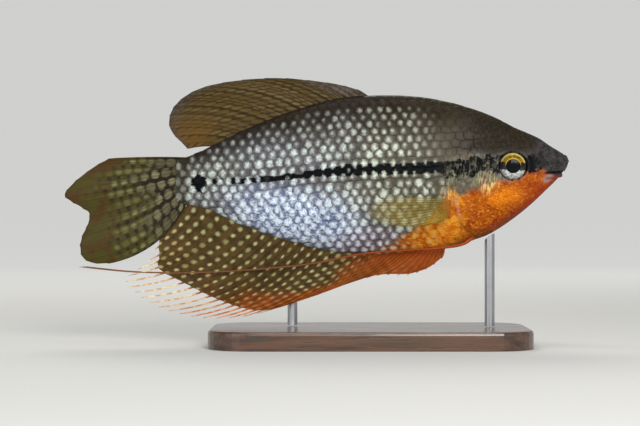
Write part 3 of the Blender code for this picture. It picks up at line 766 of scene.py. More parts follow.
def make_skin():
    rings = ring_points(skin_side)
    count, around = rings.shape[:2]
    quads, corners = tube_faces(count, around)
    quads, corners = turned_over(quads), turned_over(corners) * (0.94, 1.0) + (0.02, 0.0)
    tip = np.array([[SNOUT_X + SNOUT_TIP, 0.0, float(widest_z(SNOUT_X))]])
    tail_middle = rings[-1].mean(axis=0, keepdims=True)
    points = np.concatenate([rings.reshape(-1, 3), tip, tail_middle])
    tip_index, tail_index = len(points) - 2, len(points) - 1
    last = (count - 1) * around
    fans, fan_corners = [], []
    for k in range(around):
        after = (k + 1) % around
        v0, v1 = k / around, (k + 1) / around
        fans += [(tip_index, k, after), (tail_index, last + after, last + k)]
        fan_corners += [(0.01, v0, 0.02, v0, 0.02, v1), (0.98, v0, 0.97, v1, 0.97, v0)]
    return make_piece("fish_skin", points, list(quads) + fans, list(corners) + fan_corners,
                      skin_maps(points[:, 0], points[:, 2]), skin_finish().material,
                      ("head", "trunk", "tail_stalk"))


make_skin()

# %% [markdown]
# ## Places on the side of the body
# Scales lie in rows that run along the fish, side by side at an even distance over the curve of
# the flank. So each place on the body gets two numbers: x, and the distance over the surface
# above or below the stripe. A table finds the point and the outward direction for any such pair.

# %% Table of the flank
REACH = 27.0  # as far from the stripe as the table goes, either way
STEPS = np.linspace(-REACH, REACH, 217)


def flank_table():
    """The point and normal for each x and distance, and how far the flank goes at each x."""
    girth = np.linalg.norm(np.diff(covered[..., 1:], axis=1), axis=-1)
    girth = np.concatenate([np.zeros((len(STATIONS), 1)), np.cumsum(girth, axis=1)], axis=1)
    outward = grid_normals(covered)
    points, directions, reach = [], [], []
    for i, x in enumerate(STATIONS):
        over = girth[i] - np.interp(midline(x), covered[i, :, 2], girth[i])
        reach.append((over[0], over[-1]))
        for rows, grid in ((points, covered), (directions, outward)):
            rows.append(np.stack([np.interp(STEPS, over, grid[i, :, k]) for k in range(3)], -1))
    return np.array(points), unit(np.array(directions)), np.array(reach)


flank_points, flank_normals, flank_reach = flank_table()
print("flank reaches", flank_reach.min().round(1), "to", flank_reach.max().round(1), "mm round")

# %% Reading the table


def flank_at(table, x, over):
    """Reads the table between its entries."""
    i = np.interp(-x, -STATIONS, np.arange(len(STATIONS)))
    k = np.clip((over + REACH) / (STEPS[1] - STEPS[0]), 0, len(STEPS) - 1.001)
    i0 = np.clip(i.astype(int), 0, len(STATIONS) - 2)
    k0 = k.astype(int)
    s, t = (i - i0)[..., None], (k - k0)[..., None]
    near = table[i0, k0] * (1 - t) + table[i0, k0 + 1] * t
    far = table[i0 + 1, k0] * (1 - t) + table[i0 + 1, k0 + 1] * t
    return near * (1 - s) + far * s


def flank_limits(x):
    """The distances of the belly's and the back's keel from the stripe."""
    return [np.interp(-x, -STATIONS, flank_reach[:, end]) for end in (0, 1)]


print("at x = 0 the flank goes from", *(round(float(end), 1) for end in flank_limits(0.0)), "mm")


# %% [markdown]
# ## Rows of scales
# Each scale is a thin plate with a rounded free edge at the back, its front end tucked under the
# scales ahead of it. Painting them on the skin would lose the way light catches each edge, so
# they are real plates. Large ones cover the body and smaller ones the nape, the cheek and the
# gill cover, while the snout, the throat and the ring round the eye stay bare.

# %% Places of the scales
BODY_PITCH, HEAD_PITCH = (2.2, 1.67), (1.5, 1.08)  # along the fish and across a row


def scale_places(pitch, first_x, last_x):
    """(x, over) of each scale, row by row, with every second row half a scale further on."""
    along = np.arange(first_x, last_x, pitch[0])
    rows = np.arange(-int(REACH / pitch[1]), int(REACH / pitch[1]) + 1)
    x = along[None, :] + 0.5 * pitch[0] * (rows % 2)[:, None]
    over = np.broadcast_to((rows * pitch[1])[:, None], x.shape)
    low, high = flank_limits(x)
    inside = (low + 0.35 < over) & (over < high - 0.35)
    return np.stack([x[inside], over[inside]], axis=-1)


def head_room(x, z):
    """How much of a scale there is on the head: none near the eye, the mouth and the throat."""
    from_eye = np.hypot(x - EYE_X, z - EYE_Z)
    on_nape = fade(z, 41.2, 43.0) * (1 - fade(x, 44.5, 47.5)) * fade(from_eye, 4.0, 4.6)
    on_cheek = fade(from_eye, 4.0, 4.8) * (1 - fade(x, 40.6, 43.0)) * fade(z - belly(x), 1.6, 3.2)
    return np.maximum(on_nape, on_cheek)


body_places = scale_places(BODY_PITCH, SKIN_END_X + 1.2, 40.0)
at = flank_at(flank_points, body_places[:, 0], body_places[:, 1])
body_places = body_places[at[:, 0] < gill_edge(at[:, 2]) + 0.5]
head_places = scale_places(HEAD_PITCH, 28.0, 50.0)
at = flank_at(flank_points, head_places[:, 0], head_places[:, 1])
on_head = (at[:, 0] > gill_edge(at[:, 2]) + 0.4) & (head_room(at[:, 0], at[:, 2]) > 0.4)
head_places = head_places[on_head]
print(len(body_places), "scales on each side of the body and", len(head_places), "on the head")

# %% [markdown]
# ## The shape of one scale
# An object for each scale would make over a thousand of them, slow and hard to handle, so each
# side has one mesh for the body and one for the head. All scales are the same small grid of
# points, bent onto the flank, and a single array calculation places them all. Each gets a
# slightly different size, turn and brightness from a seeded draw, since no two real scales are
# alike. The two rows beside the stripe lean over it, which gives it the scalloped edge of the
# real one.

# %% One scale's own grid
GRID_ALONG, GRID_ACROSS = 9, 7  # points in each scale
SCALE_LENGTH, SCALE_WIDTH, SCALE_THICK = 0.76, 0.67, 0.05  # halves, in pitches; then millimetres
STRIPE_OVERLAP = 0.45
PEARL_A = 0.3  # where along a scale its pearl lies, from -1 in front to 1 at the free edge
a = np.linspace(-1, 1, GRID_ALONG)
rounding = np.where(a < 0, 1 - 0.18 * a * a,
                    np.sqrt(np.maximum(1 - (np.abs(a) * 0.985) ** 2.4, 0.0)))
SCALE_A = np.repeat(a[:, None], GRID_ACROSS, axis=1)
SCALE_B = rounding[:, None] * np.linspace(-1, 1, GRID_ACROSS)
print("a body scale is", round(2 * SCALE_LENGTH * BODY_PITCH[0], 1), "mm long, with",
      SCALE_A.size, "points on each face")


def beside_stripe(places):
    """1 in the two rows next to the stripe, whose scales lie nearer to it and over it."""
    x, over = places[:, 0], places[:, 1]
    beside = (np.abs(over) > 1.0) * (np.abs(over) < 2.0)
    return beside * fade(x, -14.0, -10.0) * (1 - fade(x, 26.0, 30.0))


def pearl_strength(centre, over, tone):
    """Pearls are weak on the very back and the shoulder, and in the row that the stripe fills."""
    x, z = centre[:, 0], centre[:, 2]
    below_back = 1 - (z - belly(x)) / (back(x) - belly(x))
    strength = fade(below_back, 0.05, 0.12) * (0.5 + 0.5 * fade(below_back, 0.1, 0.4))
    shoulder = fade(30.5 - x, 0.0, 6.5 + 4.0 * fade(z, 40.0, 46.0))
    strength = strength * (0.7 + 0.3 * tone) * (0.05 + 0.95 * shoulder)
    in_stripe = (np.abs(over) < 0.4) * fade(x, -13.0, -9.0) * (tone > 0.1)
    return strength * (1 - in_stripe) * (x < 36.0)


# %% Scales bent onto the flank


def scale_plates(places, pitch, rise_by):
    """The outer and inner points of every scale, and each one's random tone."""
    count = len(places)
    turn = rng.normal(0, 0.06, count)[:, None, None]
    size = (1 + rng.normal(0, 0.06, count))[:, None, None]
    drift = rng.normal(0, 0.07, (count, 2)) * pitch
    tone = rng.uniform(0, 1, count)
    beside = beside_stripe(places)
    length = SCALE_LENGTH * pitch[0] * size * SCALE_A
    across = SCALE_WIDTH * pitch[1] * size * SCALE_B
    x = (places[:, 0] + drift[:, 0])[:, None, None] - length * np.cos(turn) + across * np.sin(turn)
    x = np.maximum(x, SKIN_END_X)
    over = places[:, 1] - STRIPE_OVERLAP * np.sign(places[:, 1]) * beside + drift[:, 1]
    over = over[:, None, None] + length * np.sin(turn) + across * np.cos(turn)
    over = np.clip(over, *flank_limits(x))
    ground, outward = flank_at(flank_points, x, over), flank_at(flank_normals, x, over)
    pearl = np.hypot((SCALE_A - PEARL_A) / 0.4, SCALE_B / 0.7)
    rise = -0.1 + 0.11 * (SCALE_A + 1) - 0.04 * SCALE_B ** 2 + 0.04 * np.exp(-(pearl * 1.2) ** 2)
    rise = rise * rise_by[:, None, None] + 0.045 * beside[:, None, None]
    top = ground + outward * (rise + SKIN_INSET * 0.5)[..., None]
    return np.stack([top, top - outward * SCALE_THICK], axis=1), tone


def plate_faces(count):
    """The faces of count closed plates."""
    size = GRID_ALONG * GRID_ACROSS
    i, k = np.meshgrid(np.arange(GRID_ALONG - 1), np.arange(GRID_ACROSS - 1), indexing="ij")
    quads = np.stack([i * GRID_ACROSS + k, (i + 1) * GRID_ACROSS + k,
                      (i + 1) * GRID_ACROSS + k + 1, i * GRID_ACROSS + k + 1], -1).reshape(-1, 4)
    one = sheet_faces(quads, size)
    return (one[None] + (np.arange(count) * 2 * size)[:, None, None]).reshape(-1, 4)


print("one scale has", len(plate_faces(1)), "faces")


# %% One mesh of scales
PATCH_LENGTH, PATCH_WIDTH, UNWRAP_LENGTH = 0.42, 0.43, 90.0  # a scale's place on the unwrap


def make_scales(name, side, finish, places, pitch, rise_by):
    """One side's scales as one mesh; rise_by tells how far their free edges stand up."""
    count = len(places)
    centre = flank_at(flank_points, places[:, 0], places[:, 1])
    warm = markings(centre[:, 0], centre[:, 2])["warm"]
    plates, tone = scale_plates(places, pitch, rise_by * (1 - 0.55 * warm))
    points = sided(plates, side).reshape(-1, 3)
    faces = plate_faces(count)
    if side == LEFT:
        faces = faces[:, ::-1]
    shape = (count, 2, GRID_ALONG, GRID_ACROSS)
    local_a, local_b = np.broadcast_to(SCALE_A, shape), np.broadcast_to(SCALE_B, shape)
    x, over = places[:, 0, None, None, None], places[:, 1, None, None, None]
    u = (x - SKIN_END_X + 1 - local_a * pitch[0] * PATCH_LENGTH) / UNWRAP_LENGTH
    v = (over + REACH + local_b * pitch[1] * PATCH_WIDTH) / (2 * REACH)
    uv = np.stack([u, v], -1).reshape(-1, 2)
    maps = markings(points[:, 0], points[:, 2])
    maps |= {"scale_a": local_a.ravel(), "scale_b": local_b.ravel()}
    each = {"pearl": pearl_strength(centre, places[:, 1], tone), "tone": tone,
            "beside": beside_stripe(places)}
    maps |= {key: np.repeat(values, 2 * SCALE_A.size) for key, values in each.items()}
    return make_piece(name, points, faces, uv[faces].reshape(len(faces), 8), maps,
                      finish.material)


# %% [markdown]
# ## Pearls
# Each scale has a whitish spot near its free edge, which gives the pearl gourami its name. The
# shader draws it from the scale's own two coordinates, so it sits on every plate alike, and noise
# and the scale's own random tone make no two the same. A soft haze surrounds it, and a dark net
# runs along the scales' edges. On the belly the spots run together into a crinkled blue-white
# shine, which is a painted reflection, and over the orange they turn cream.

# %% Colour of a pearl
PEARL_RADII = (0.35, 0.68)  # along and across a scale


def pearl_colour(finish, fine, tone):
    warm, nape = finish.map("warm"), finish.map("nape")
    return finish.layers(
        finish.mix(fine.fade(0.35, 0.65), tint(152, 164, 158), tint(204, 216, 212)),
        # On the belly's shine the pearls turn blue-white, which is a painted reflection.
        (finish.map("sheen"),
         finish.mix(fine.fade(0.4, 0.6), tint(186, 208, 242), tint(232, 243, 255))),
        (finish.map("front") * 0.6, tint(204, 212, 186)),
        (finish.map("lilac"), tint(220, 218, 236)),
        (warm.fade(0.02, 0.4) * 0.8, tint(226, 214, 138)),
        (warm.fade(0.6, 1.0) * 0.6, tint(228, 164, 70)),
        (finish.map("dusk") * 0.3, tint(140, 142, 118)),
        (nape * nape * 0.85, tint(82, 80, 54)),
        (finish.map("tail") * 0.85, finish.mix(tone, tint(100, 95, 68), tint(146, 145, 118))))


# %% Material of the scales


def scale_finish(name, net_share):
    finish = Finish(name, 0.3, Coat_Roughness=0.15, IOR=1.45, Specular_IOR_Level=0.06)
    a, b, tone = finish.map("scale_a"), finish.map("scale_b"), finish.map("tone")
    warm, sheen, dusk = finish.map("warm"), finish.map("sheen"), finish.map("dusk")
    nape, strength = finish.map("nape"), finish.map("pearl")
    fine, rough = finish.noise(0.4, 2.0), finish.noise(0.6, 3.0)
    along = (a - PEARL_A + (tone - 0.5) * 0.2) / PEARL_RADII[0]
    across = b / PEARL_RADII[1]
    smaller = 1 + dusk * 0.45 + finish.map("beside") * 0.16 + nape * 0.3
    away = (along * along + across * across).math("SQRT") * smaller
    away = away + (rough - 0.5) * 2.0 - (tone - 0.5) * 0.65
    net_mask = away.fade(1.2, 2.3) * (net_share + sheen * 0.3) * (1 - nape) * (1 - dusk * 0.6)
    pearl = away.fade(1.3, 0.15) * strength * (1 - warm.fade(0.4, 1.0) * 0.4)
    crinkle = finish.noise(0.8, 3.0, (1, 1, 1), 0.65) + (1.3 - away).fade(-1.0, 1.0) * 0.14
    crinkle = crinkle.fade(0.51, 0.62)
    stripe = stripe_mask(finish)
    core = (finish.map("core") - fine * 0.4).fade(0.05, 0.4)
    colour = finish.layers(
        ground_colour(finish),
        (net_mask * (1 - warm * 0.9), finish.mix(sheen, tint(38, 30, 24), tint(62, 70, 100))),
        (away.fade(2.0, 0.7) * strength * 0.55 * (1 - warm), tint(138, 138, 130)),
        (pearl, pearl_colour(finish, fine, tone)),
        # The crinkled blue-white shine over the belly is a painted reflection.
        (sheen.fade(0.25, 1.0) * 0.5,
         finish.mix(crinkle, tint(114, 132, 170), tint(230, 242, 255))),
        (stripe * (1 - pearl * 0.85), STRIPE_BLACK),
        (core, STRIPE_BLACK))
    finish.set(Base_Color=colour, Roughness=0.42 - pearl * 0.14, Metallic=sheen * 0.12)
    black = (stripe + core).fade(0.0, 0.5)
    finish.set(Coat_Weight=(0.03 + pearl * 0.14) * (1 - black))
    finish.bumps(finish.noise(0.3, 2.0) + crinkle * sheen * 0.8, 0.3, 0.05)
    return finish


# %% Both sides' scales
body_scales, head_scales = scale_finish("body_scales", 0.24), scale_finish("head_scales", 0.06)
for label, side in (("right", RIGHT), ("left", LEFT)):
    make_scales(f"body_scales_{label}", side, body_scales, body_places, np.array(BODY_PITCH),
                0.55 - 0.45 * fade(body_places[:, 0], 14.0, 28.0))
    make_scales(f"head_scales_{label}", side, head_scales, head_places, np.array(HEAD_PITCH),
                np.full(len(head_places), 0.1))

# %% [markdown]
# ## Fins
# A fin is a thin membrane stretched over many fine rays, like the paper and ribs of a fan. A few
# curves say all about its shape: where the rays' roots and tips lie, how far out the membrane
# reaches along each, and how much each bows. A share from 0 to 1 runs along those curves, from
# the first ray to the last.

# %% Sizes of the fins
DORSAL_RAYS, DORSAL_BASE = 16, (12.4, -21.0)
DORSAL_TIPS = ((0.0, 9.2, 56.3), (0.08, 5.6, 57.3), (0.18, -0.5, 58.2), (0.3, -8.7, 58.8),
               (0.43, -18.1, 58.2), (0.55, -25.0, 56.7), (0.66, -29.4, 54.4), (0.78, -32.0, 51.2),
               (0.9, -31.8, 47.2), (1.0, -28.2, 43.3))
DORSAL_WEB = ((0.0, 0.995), (0.3, 0.997), (0.7, 0.997), (1.0, 0.995))
DORSAL_BOW = ((0.0, -0.03), (0.3, -0.06), (0.7, -0.07), (1.0, -0.05))
ANAL_RAYS, ANAL_BASE = 36, (28.6, -27.4)
ANAL_TIPS = ((0.0, 27.9, 19.1), (0.05, 24.8, 16.8), (0.1, 21.3, 15.6), (0.2, 13.6, 15.3),
             (0.3, 5.2, 12.9), (0.4, -4.0, 9.6), (0.5, -14.3, 6.6), (0.6, -24.6, 6.0),
             (0.7, -33.4, 7.9), (0.8, -39.8, 11.6), (0.88, -41.6, 15.0), (0.94, -37.3, 18.2),
             (1.0, -34.7, 23.3))
ANAL_WEB = ((0.0, 0.93), (0.4, 0.93), (0.5, 0.86), (0.6, 0.74), (0.7, 0.67), (0.8, 0.67),
            (0.88, 0.74), (1.0, 0.95))
ANAL_BOW = ((0.0, 0.03), (0.3, 0.07), (0.55, 0.08), (0.75, 0.1), (0.88, 0.08), (1.0, 0.03))
CAUDAL_RAYS, CAUDAL_BASE = 16, (41.2, 31.5)
CAUDAL_TIPS = ((0.0, -45.8, 41.1), (0.07, -48.2, 39.9), (0.14, -50.9, 38.1), (0.22, -53.8, 35.7),
               (0.3, -55.7, 33.2), (0.38, -54.3, 31.7), (0.45, -51.9, 30.3), (0.52, -50.2, 28.8),
               (0.58, -50.6, 26.6), (0.66, -51.7, 24.2), (0.75, -52.2, 21.5), (0.83, -51.6, 19.2),
               (0.91, -49.4, 18.0), (1.0, -45.8, 17.9))
CAUDAL_WEB = ((0.0, 0.998), (0.5, 0.998), (1.0, 0.998))
CAUDAL_BOW = ((0.0, -0.01), (0.5, 0.03), (1.0, 0.12))
PECTORAL_RAYS, PECTORAL_ROOT_X, PECTORAL_ROOT = 15, 29.4, (31.9, 28.9)
PECTORAL_TIPS = ((0.0, 14.6, 32.2), (0.2, 11.6, 31.0), (0.4, 10.9, 29.1), (0.6, 13.0, 27.4),
                 (0.8, 18.0, 26.4), (1.0, 23.4, 27.0))
PECTORAL_WEB = ((0.0, 0.965), (1.0, 0.965))
PECTORAL_BOW = ((0.0, -0.02), (1.0, 0.15))
PECTORAL_SPLAY, PECTORAL_STAND, PECTORAL_STALK = 4.0, 1.0, 0.05
ROOT_SINK = 1.0  # how far a fin reaches into the body
print("rays:", DORSAL_RAYS, ANAL_RAYS, CAUDAL_RAYS, "and", PECTORAL_RAYS)

# %% [markdown]
# ## A sheet with rays in it
# The solids have each fin thick enough to make. Here it is the same sheet, finer: five columns of
# points over each ray, three in the membrane between two, and the ray tips running on beyond the
# membrane's edge where the real ones are free. A plane with a bump map would look flat from the
# side, so the rays are real ridges. Both faces and the rim are built from one grid, so the sheet
# is closed. Each point knows its ray and how far out along it it lies, which the markings use.

# %% Rays and columns


def ray_frame(share, along, root, tip, bow, stalk):
    """A ray's point at a share of its length, and its direction, as (x, z) rows."""
    past = np.maximum(along - stalk, 0.0) / (1 - stalk)
    start, run = root(share), tip(share) - root(share)
    side = np.stack([-run[..., 1], run[..., 0]], -1)
    bend = bow(share)
    point = start + run * past[..., None] + side * (4 * bend * past * (1 - past))[..., None]
    direction = run + side * (4 * bend * (1 - 2 * past))[..., None]
    return point, unit(direction)


def fin_columns(rays):
    """For each column its ray, the ray after it, its place across both, and its share between."""
    rows = []
    for ray in range(rays):
        rows += [(ray, ray, across, across, 0.0) for across in (-1.0, -0.5, 0.0, 0.5, 1.0)]
        if ray < rays - 1:
            rows += [(ray, ray + 1, 1.0, -1.0, share) for share in (0.25, 0.5, 0.75)]
    return np.array(rows).T


def fin_outline(columns, along, frame_at, ray_half):
    """(x, z) of every point. Between rays, the points follow the smooth curve of the tips."""
    first, second, near_side, far_side, lean = columns
    last = first[-1]

    def at(share):
        return frame_at(np.repeat(share[:, None], along.shape[1], axis=1), along)

    def ray_side(ray, across):
        step = 0.5 / last
        point, run = at(ray / last)
        ahead, behind = at(ray / last + step)[0], at(ray / last - step)[0]
        normal = np.stack([-run[..., 1], run[..., 0]], -1)
        pitch = np.sum(normal * (ahead - behind), axis=-1)
        normal = normal * np.where(pitch < 0, -1.0, 1.0)[..., None]
        slim = ray_half * (1 - 0.45 * along) * (1 - 0.5 * fade(along, 0.9, 1.0))
        half = np.minimum(slim, 0.3 * np.abs(pitch))
        slope = np.sum(run * (ahead - behind), axis=-1) / np.maximum(np.abs(pitch), 0.01)
        slide = np.clip(slope, -2.0, 2.0)[..., None] * run
        return point + (normal + slide) * (half * across[:, None])[..., None]

    flat = ray_side(first, near_side) * (1 - lean)[:, None, None]
    flat = flat + ray_side(second, far_side) * lean[:, None, None]
    flat = flat + at((first + lean) / last)[0]
    for ray, part in ((first, 1 - lean), (second, lean)):
        flat = flat - at(ray / last)[0] * part[:, None, None]
    return flat


def fin_faces(lean, rows, free_rows):
    """Faces over the membrane's rows everywhere and over the free rows on the rays alone."""
    tall = rows + free_rows + 1
    col, row = np.meshgrid(np.arange(len(lean) - 1), np.arange(tall - 1), indexing="ij")
    on_ray = (lean[:-1] == 0) & (lean[1:] == 0)
    keep = (row < rows) | on_ray[:, None]
    col, row = col[keep], row[keep]
    quads = np.stack([col * tall + row, (col + 1) * tall + row,
                      (col + 1) * tall + row + 1, col * tall + row + 1], -1)
    return sheet_faces(quads, len(lean) * tall)


print("three rays take", fin_columns(3).shape[1], "columns of points")


# %% A fin from its curves


def make_fin(name, finish, rays, root, tips, web, bow, off, zones, rows=40, free_rows=9,
             ray_half=0.2, thick=(0.5, 0.15, 0.16), stalk=0.0, side=LEFT, waves=(0.0, 1.0)):
    """off tells how far the sheet stands from the middle, zones gives its maps, and thick is
    the thickness of a ray at its root, of the membrane, and of a ray at its tip."""
    columns = fin_columns(rays)
    first, across, lean = columns[0], columns[2], columns[4]
    tip, web, bow = smooth_path(tips), smooth(web), smooth(bow)
    fraction = first + lean + np.where(lean == 0, across * 0.1, 0.0)
    reach = web(np.clip(fraction / (rays - 1), 0, 1)) * (1 - 0.006 * np.sin(math.pi * lean))
    inner = (np.linspace(0, 1, rows + 1) ** (2.0 if stalk else 1.0))[None] * reach[:, None]
    outer = reach[:, None] + (1 - reach[:, None]) * (np.arange(1, free_rows + 1) / free_rows)[None]
    along = np.concatenate([inner, outer], axis=1)
    flat = fin_outline(columns, along,
                       lambda share, out: ray_frame(share, out, root, tip, bow, stalk), ray_half)
    crest = np.where(lean == 0, 1 - across ** 2 * 0.9, 0.0)[:, None]
    stem = thick[0] + (thick[2] - thick[0]) * along ** 0.8
    half = (thick[1] + (stem - thick[1]) * crest) / 2
    sheet = off(along) + waves[0] * along * np.sin(2 * math.pi * waves[1] * fraction[:, None] / rays)
    sheet = np.broadcast_to(sheet, along.shape)
    both = [np.stack([flat[..., 0], sheet + half * face, flat[..., 1]], -1) for face in (1, -1)]
    points = sided(np.stack(both), side).reshape(-1, 3)
    used, faces = np.unique(fin_faces(lean, rows, free_rows), return_inverse=True)
    faces = faces.reshape(-1, 4)
    if side == RIGHT:
        faces = faces[:, ::-1]
    run = np.cumsum(np.linalg.norm(np.diff(flat, axis=1), axis=-1), axis=1)
    run = np.concatenate([np.zeros((len(lean), 1)), run], axis=1)
    maps = {"ray": fraction[:, None], "run": run, "out": along, "crest": crest,
            "free": fade(along, reach[:, None] - 0.02, reach[:, None] + 0.05)}
    maps |= zones(flat[..., 0], flat[..., 1], along, fraction[:, None] / (rays - 1))
    maps["u"] = (np.arange(len(lean))[:, None] + 0.5) / len(lean)
    maps["v"] = (np.arange(along.shape[1])[None] + 0.5) / along.shape[1]
    maps = {key: np.tile(np.broadcast_to(value, along.shape).ravel(), 2)[used]
            for key, value in maps.items()}
    uv = np.stack([maps.pop("u"), maps.pop("v")], -1)
    return make_piece(f"{name}_sheet", points[used], faces, uv[faces].reshape(len(faces), 8), maps,
                      finish.material, (name,))


# %% [markdown]
# ## Markings of the fins
# Pale oval spots fill the membrane in rows that follow the rays, and the spots of one row sit
# beside the gaps of the next. A Math node that keeps only the fraction of a number turns a row
# into many equal cells, and half a cell's shift in every second row staggers them. White noise
# by the cell's own number gives each spot its own size and strength.

# %% Spots


def oval_spots(finish, pitch, lane, radii, tilt=0.0, lanes=1.0, shift=0.0, soft=(1.2, 0.6),
               skew=0.0):
    """1 inside a spot, and a random number for each. Sizes are in millimetres, and lanes is how
    many rows there are for each ray."""
    ray = finish.map("ray") * lanes + shift
    cell = ray.math("FLOOR")
    step = finish.map("run") / pitch + cell.math("MODULO", 2.0) * 0.5 + shift
    number = finish.node("ShaderNodeCombineXYZ", {}, {0: cell, 1: step.math("FLOOR"), 2: lanes})
    chance = finish.node("ShaderNodeTexWhiteNoise", {}, {"Vector": number})
    u, v = (step.math("FRACT") - 0.5) * pitch, (ray.math("FRACT") - 0.5) * lane
    u = u + v * skew
    along = (u * math.cos(tilt) + v * math.sin(tilt)) / radii[0]
    across = (v * math.cos(tilt) - u * math.sin(tilt)) / radii[1]
    away = (along * along + across * across).math("SQRT") + (chance - 0.5) * 0.4
    away = away + (finish.noise(0.5, 2.0) - 0.5) * 0.7
    return away.fade(*soft), chance


# %% Material of a fin
RAY_JOINT = 0.42  # length of the short segments that a ray is made of


def fin_finish(name, membrane, ray_colour):
    """A fin's material with its membrane, a pair of colours that noise blends, and its relief."""
    finish = Finish(name, 0.42, Coat_Weight=0.04, Coat_Roughness=0.15, Specular_IOR_Level=0.08)
    streak = finish.noise(0.22, 2.0)
    finish.ray_colour = ray_colour
    finish.crest = finish.map("crest").fade(0.15, 0.8)
    joints = (finish.map("run") / RAY_JOINT).math("FRACT").fade(0.0, 0.25)
    finish.bumps(streak * 0.6 + joints * finish.crest * 0.7, 0.4, 0.05)
    finish.ground = finish.mix(finish.noise(1.6, 3.0).fade(0.3, 0.7), *membrane)
    return finish


def fine_rays(finish, branches):
    """Thin lines along the fin where each ray branches, weak at the root."""
    away = ((finish.map("ray") * branches).math("FRACT") - 0.5).math("ABSOLUTE")
    return away.fade(0.3, 0.46) * finish.map("out").fade(0.15, 0.6)


def thin_edge(finish):
    """Nearly solid, and a little clearer at the edge."""
    return 1 - finish.map("out").fade(0.85, 1.0) * 0.06


# %% [markdown]
# ## Dorsal fin
# The fin on the back is brown with rows of pale ovals. It is greyer in front and along its upper
# edge, and golden with dark specks behind. Its roots follow the back, and a gentle wave makes the
# sheet less stiff.

# %% Dorsal fin


def dorsal_root(share):
    x = DORSAL_BASE[0] + (DORSAL_BASE[1] - DORSAL_BASE[0]) * share * (0.6 + 0.4 * share)
    return np.stack([x, back(x) - ROOT_SINK], -1)


def dorsal_zones(x, z, along, share):
    front = (1 - fade(share, 0.08, 0.42)) * fade(along, 0.0, 0.35)
    return {"leading": np.maximum(front, fade(along, 0.75, 1.0) * 0.7),
            "rear": fade(share, 0.72, 0.95) * fade(along, 0.2, 0.6),
            "root": 1 - fade(along, 0.05, 0.35)}


def level(along):
    """A fin in the fish's middle plane."""
    return 0.0 * along


def dorsal_finish():
    finish = fin_finish("dorsal_fin", (tint(44, 33, 13), tint(58, 45, 19)), tint(38, 28, 12))
    leading, rear = finish.map("leading"), finish.map("rear")
    spot, chance = oval_spots(finish, 2.0, 1.5, (1.05, 0.62), 0.3, 1.35)
    speck, _ = oval_spots(finish, 2.0, 1.5, (0.6, 0.2), 0.3, 1.35, 0.5)
    greyer = finish.noise(0.9, 2.0).fade(0.4, 0.6)
    finish.set(Alpha=thin_edge(finish), Base_Color=finish.layers(
        finish.ground,
        (finish.map("root") * 0.6, tint(46, 36, 22)),
        (rear * 0.8, tint(98, 70, 26)),
        (spot * (1 - leading * 0.85) * (1 - rear * 0.8) * 0.8,
         finish.mix(chance, tint(78, 63, 28), tint(104, 86, 48))),
        (leading.fade(0.1, 1.0) * 0.7, finish.mix(greyer, tint(62, 53, 46), tint(86, 79, 78))),
        (speck * rear * 0.7, tint(34, 22, 10)),
        (fine_rays(finish, 3) * 0.3, finish.ray_colour),
        (finish.crest * 0.4, finish.ray_colour)))
    return finish


make_fin("dorsal_fin", dorsal_finish(), DORSAL_RAYS, dorsal_root, DORSAL_TIPS,
         DORSAL_WEB, DORSAL_BOW, level, dorsal_zones, ray_half=0.2, waves=(0.35, 3.2))

# %% [markdown]
# ## Anal fin
# The longest fin runs along the whole belly. In front it is orange, and behind it is brown with
# slanting rows of pale spots. A male's rear rays run on far beyond the membrane, like the teeth
# of a comb, banded cream and orange, so this fin has more rows of points past the web's edge.

# %% Anal fin


def anal_root(share):
    x = ANAL_BASE[0] + (ANAL_BASE[1] - ANAL_BASE[0]) * share * (0.4 + 0.6 * share)
    return np.stack([x, belly(x) + ROOT_SINK], -1)


def anal_zones(x, z, along, share):
    front = fade(x + 0.9 * (20 - z), 3.0, 16.0)
    edge = fade(along, 0.3, 0.62) * (1 - fade(share, 0.45, 0.85) * 0.8)
    orange = np.maximum(front, edge) + 0.12 * wobble(x, z, 9.0, 6)
    return {"orange": np.clip(orange, 0, 1), "deep": fade(x, 10.0, 24.0) * (1 - 0.6 * along),
            "rear": fade(share, 0.55, 0.8)}


def anal_finish():
    finish = fin_finish("anal_fin", (tint(56, 42, 18), tint(78, 60, 28)), tint(42, 30, 14))
    orange, deep, free = finish.map("orange"), finish.map("deep"), finish.map("free")
    amber = finish.layers(
        finish.mix(finish.noise(2.4, 3.0).fade(0.35, 0.65), tint(90, 42, 6), tint(126, 58, 9)),
        (deep, tint(138, 56, 6)))
    spot, chance = oval_spots(finish, 2.1, 1.5, (0.6, 0.29), 0.0, 0.92, soft=(1.4, 0.25), skew=0.75)
    spot = spot * (1 - orange.fade(0.45, 1.0) * 0.75) * (1 - deep)
    spot_colour = finish.layers(finish.mix(chance, tint(124, 121, 74), tint(184, 182, 132)),
                                (orange * 0.6, tint(208, 140, 66)))
    pale = finish.noise(1.1, 2.0).fade(0.42, 0.6)
    free_colour = finish.layers(
        finish.mix(pale, tint(178, 92, 38), tint(206, 140, 92)),
        (finish.map("rear") * (pale * 0.6 + 0.4) * free.fade(0.6, 1.0), tint(220, 206, 164)))
    finish.set(Base_Color=finish.layers(
        finish.ground,
        (orange.fade(0.2, 0.9), amber),
        (fine_rays(finish, 2) * 0.4, tint(110, 78, 40)),
        (spot, spot_colour),
        (finish.crest * (1 - spot * 0.7) * 0.4,
         finish.mix(orange.fade(0.35, 0.8), finish.ray_colour, tint(164, 80, 18))),
        (free, free_colour)))
    return finish


make_fin("anal_fin", anal_finish(), ANAL_RAYS, anal_root, ANAL_TIPS, ANAL_WEB,
         ANAL_BOW, level, anal_zones, free_rows=16, ray_half=0.27, waves=(0.4, 5.3))

# %% [markdown]
# ## Caudal fin
# The tail fin starts as dark as the last scales, with olive squares between its rays, and turns
# to even olive and red-brown further out, with dark specks in rows. It has two rounded lobes, of
# which the upper one is longer.

# %% Caudal fin


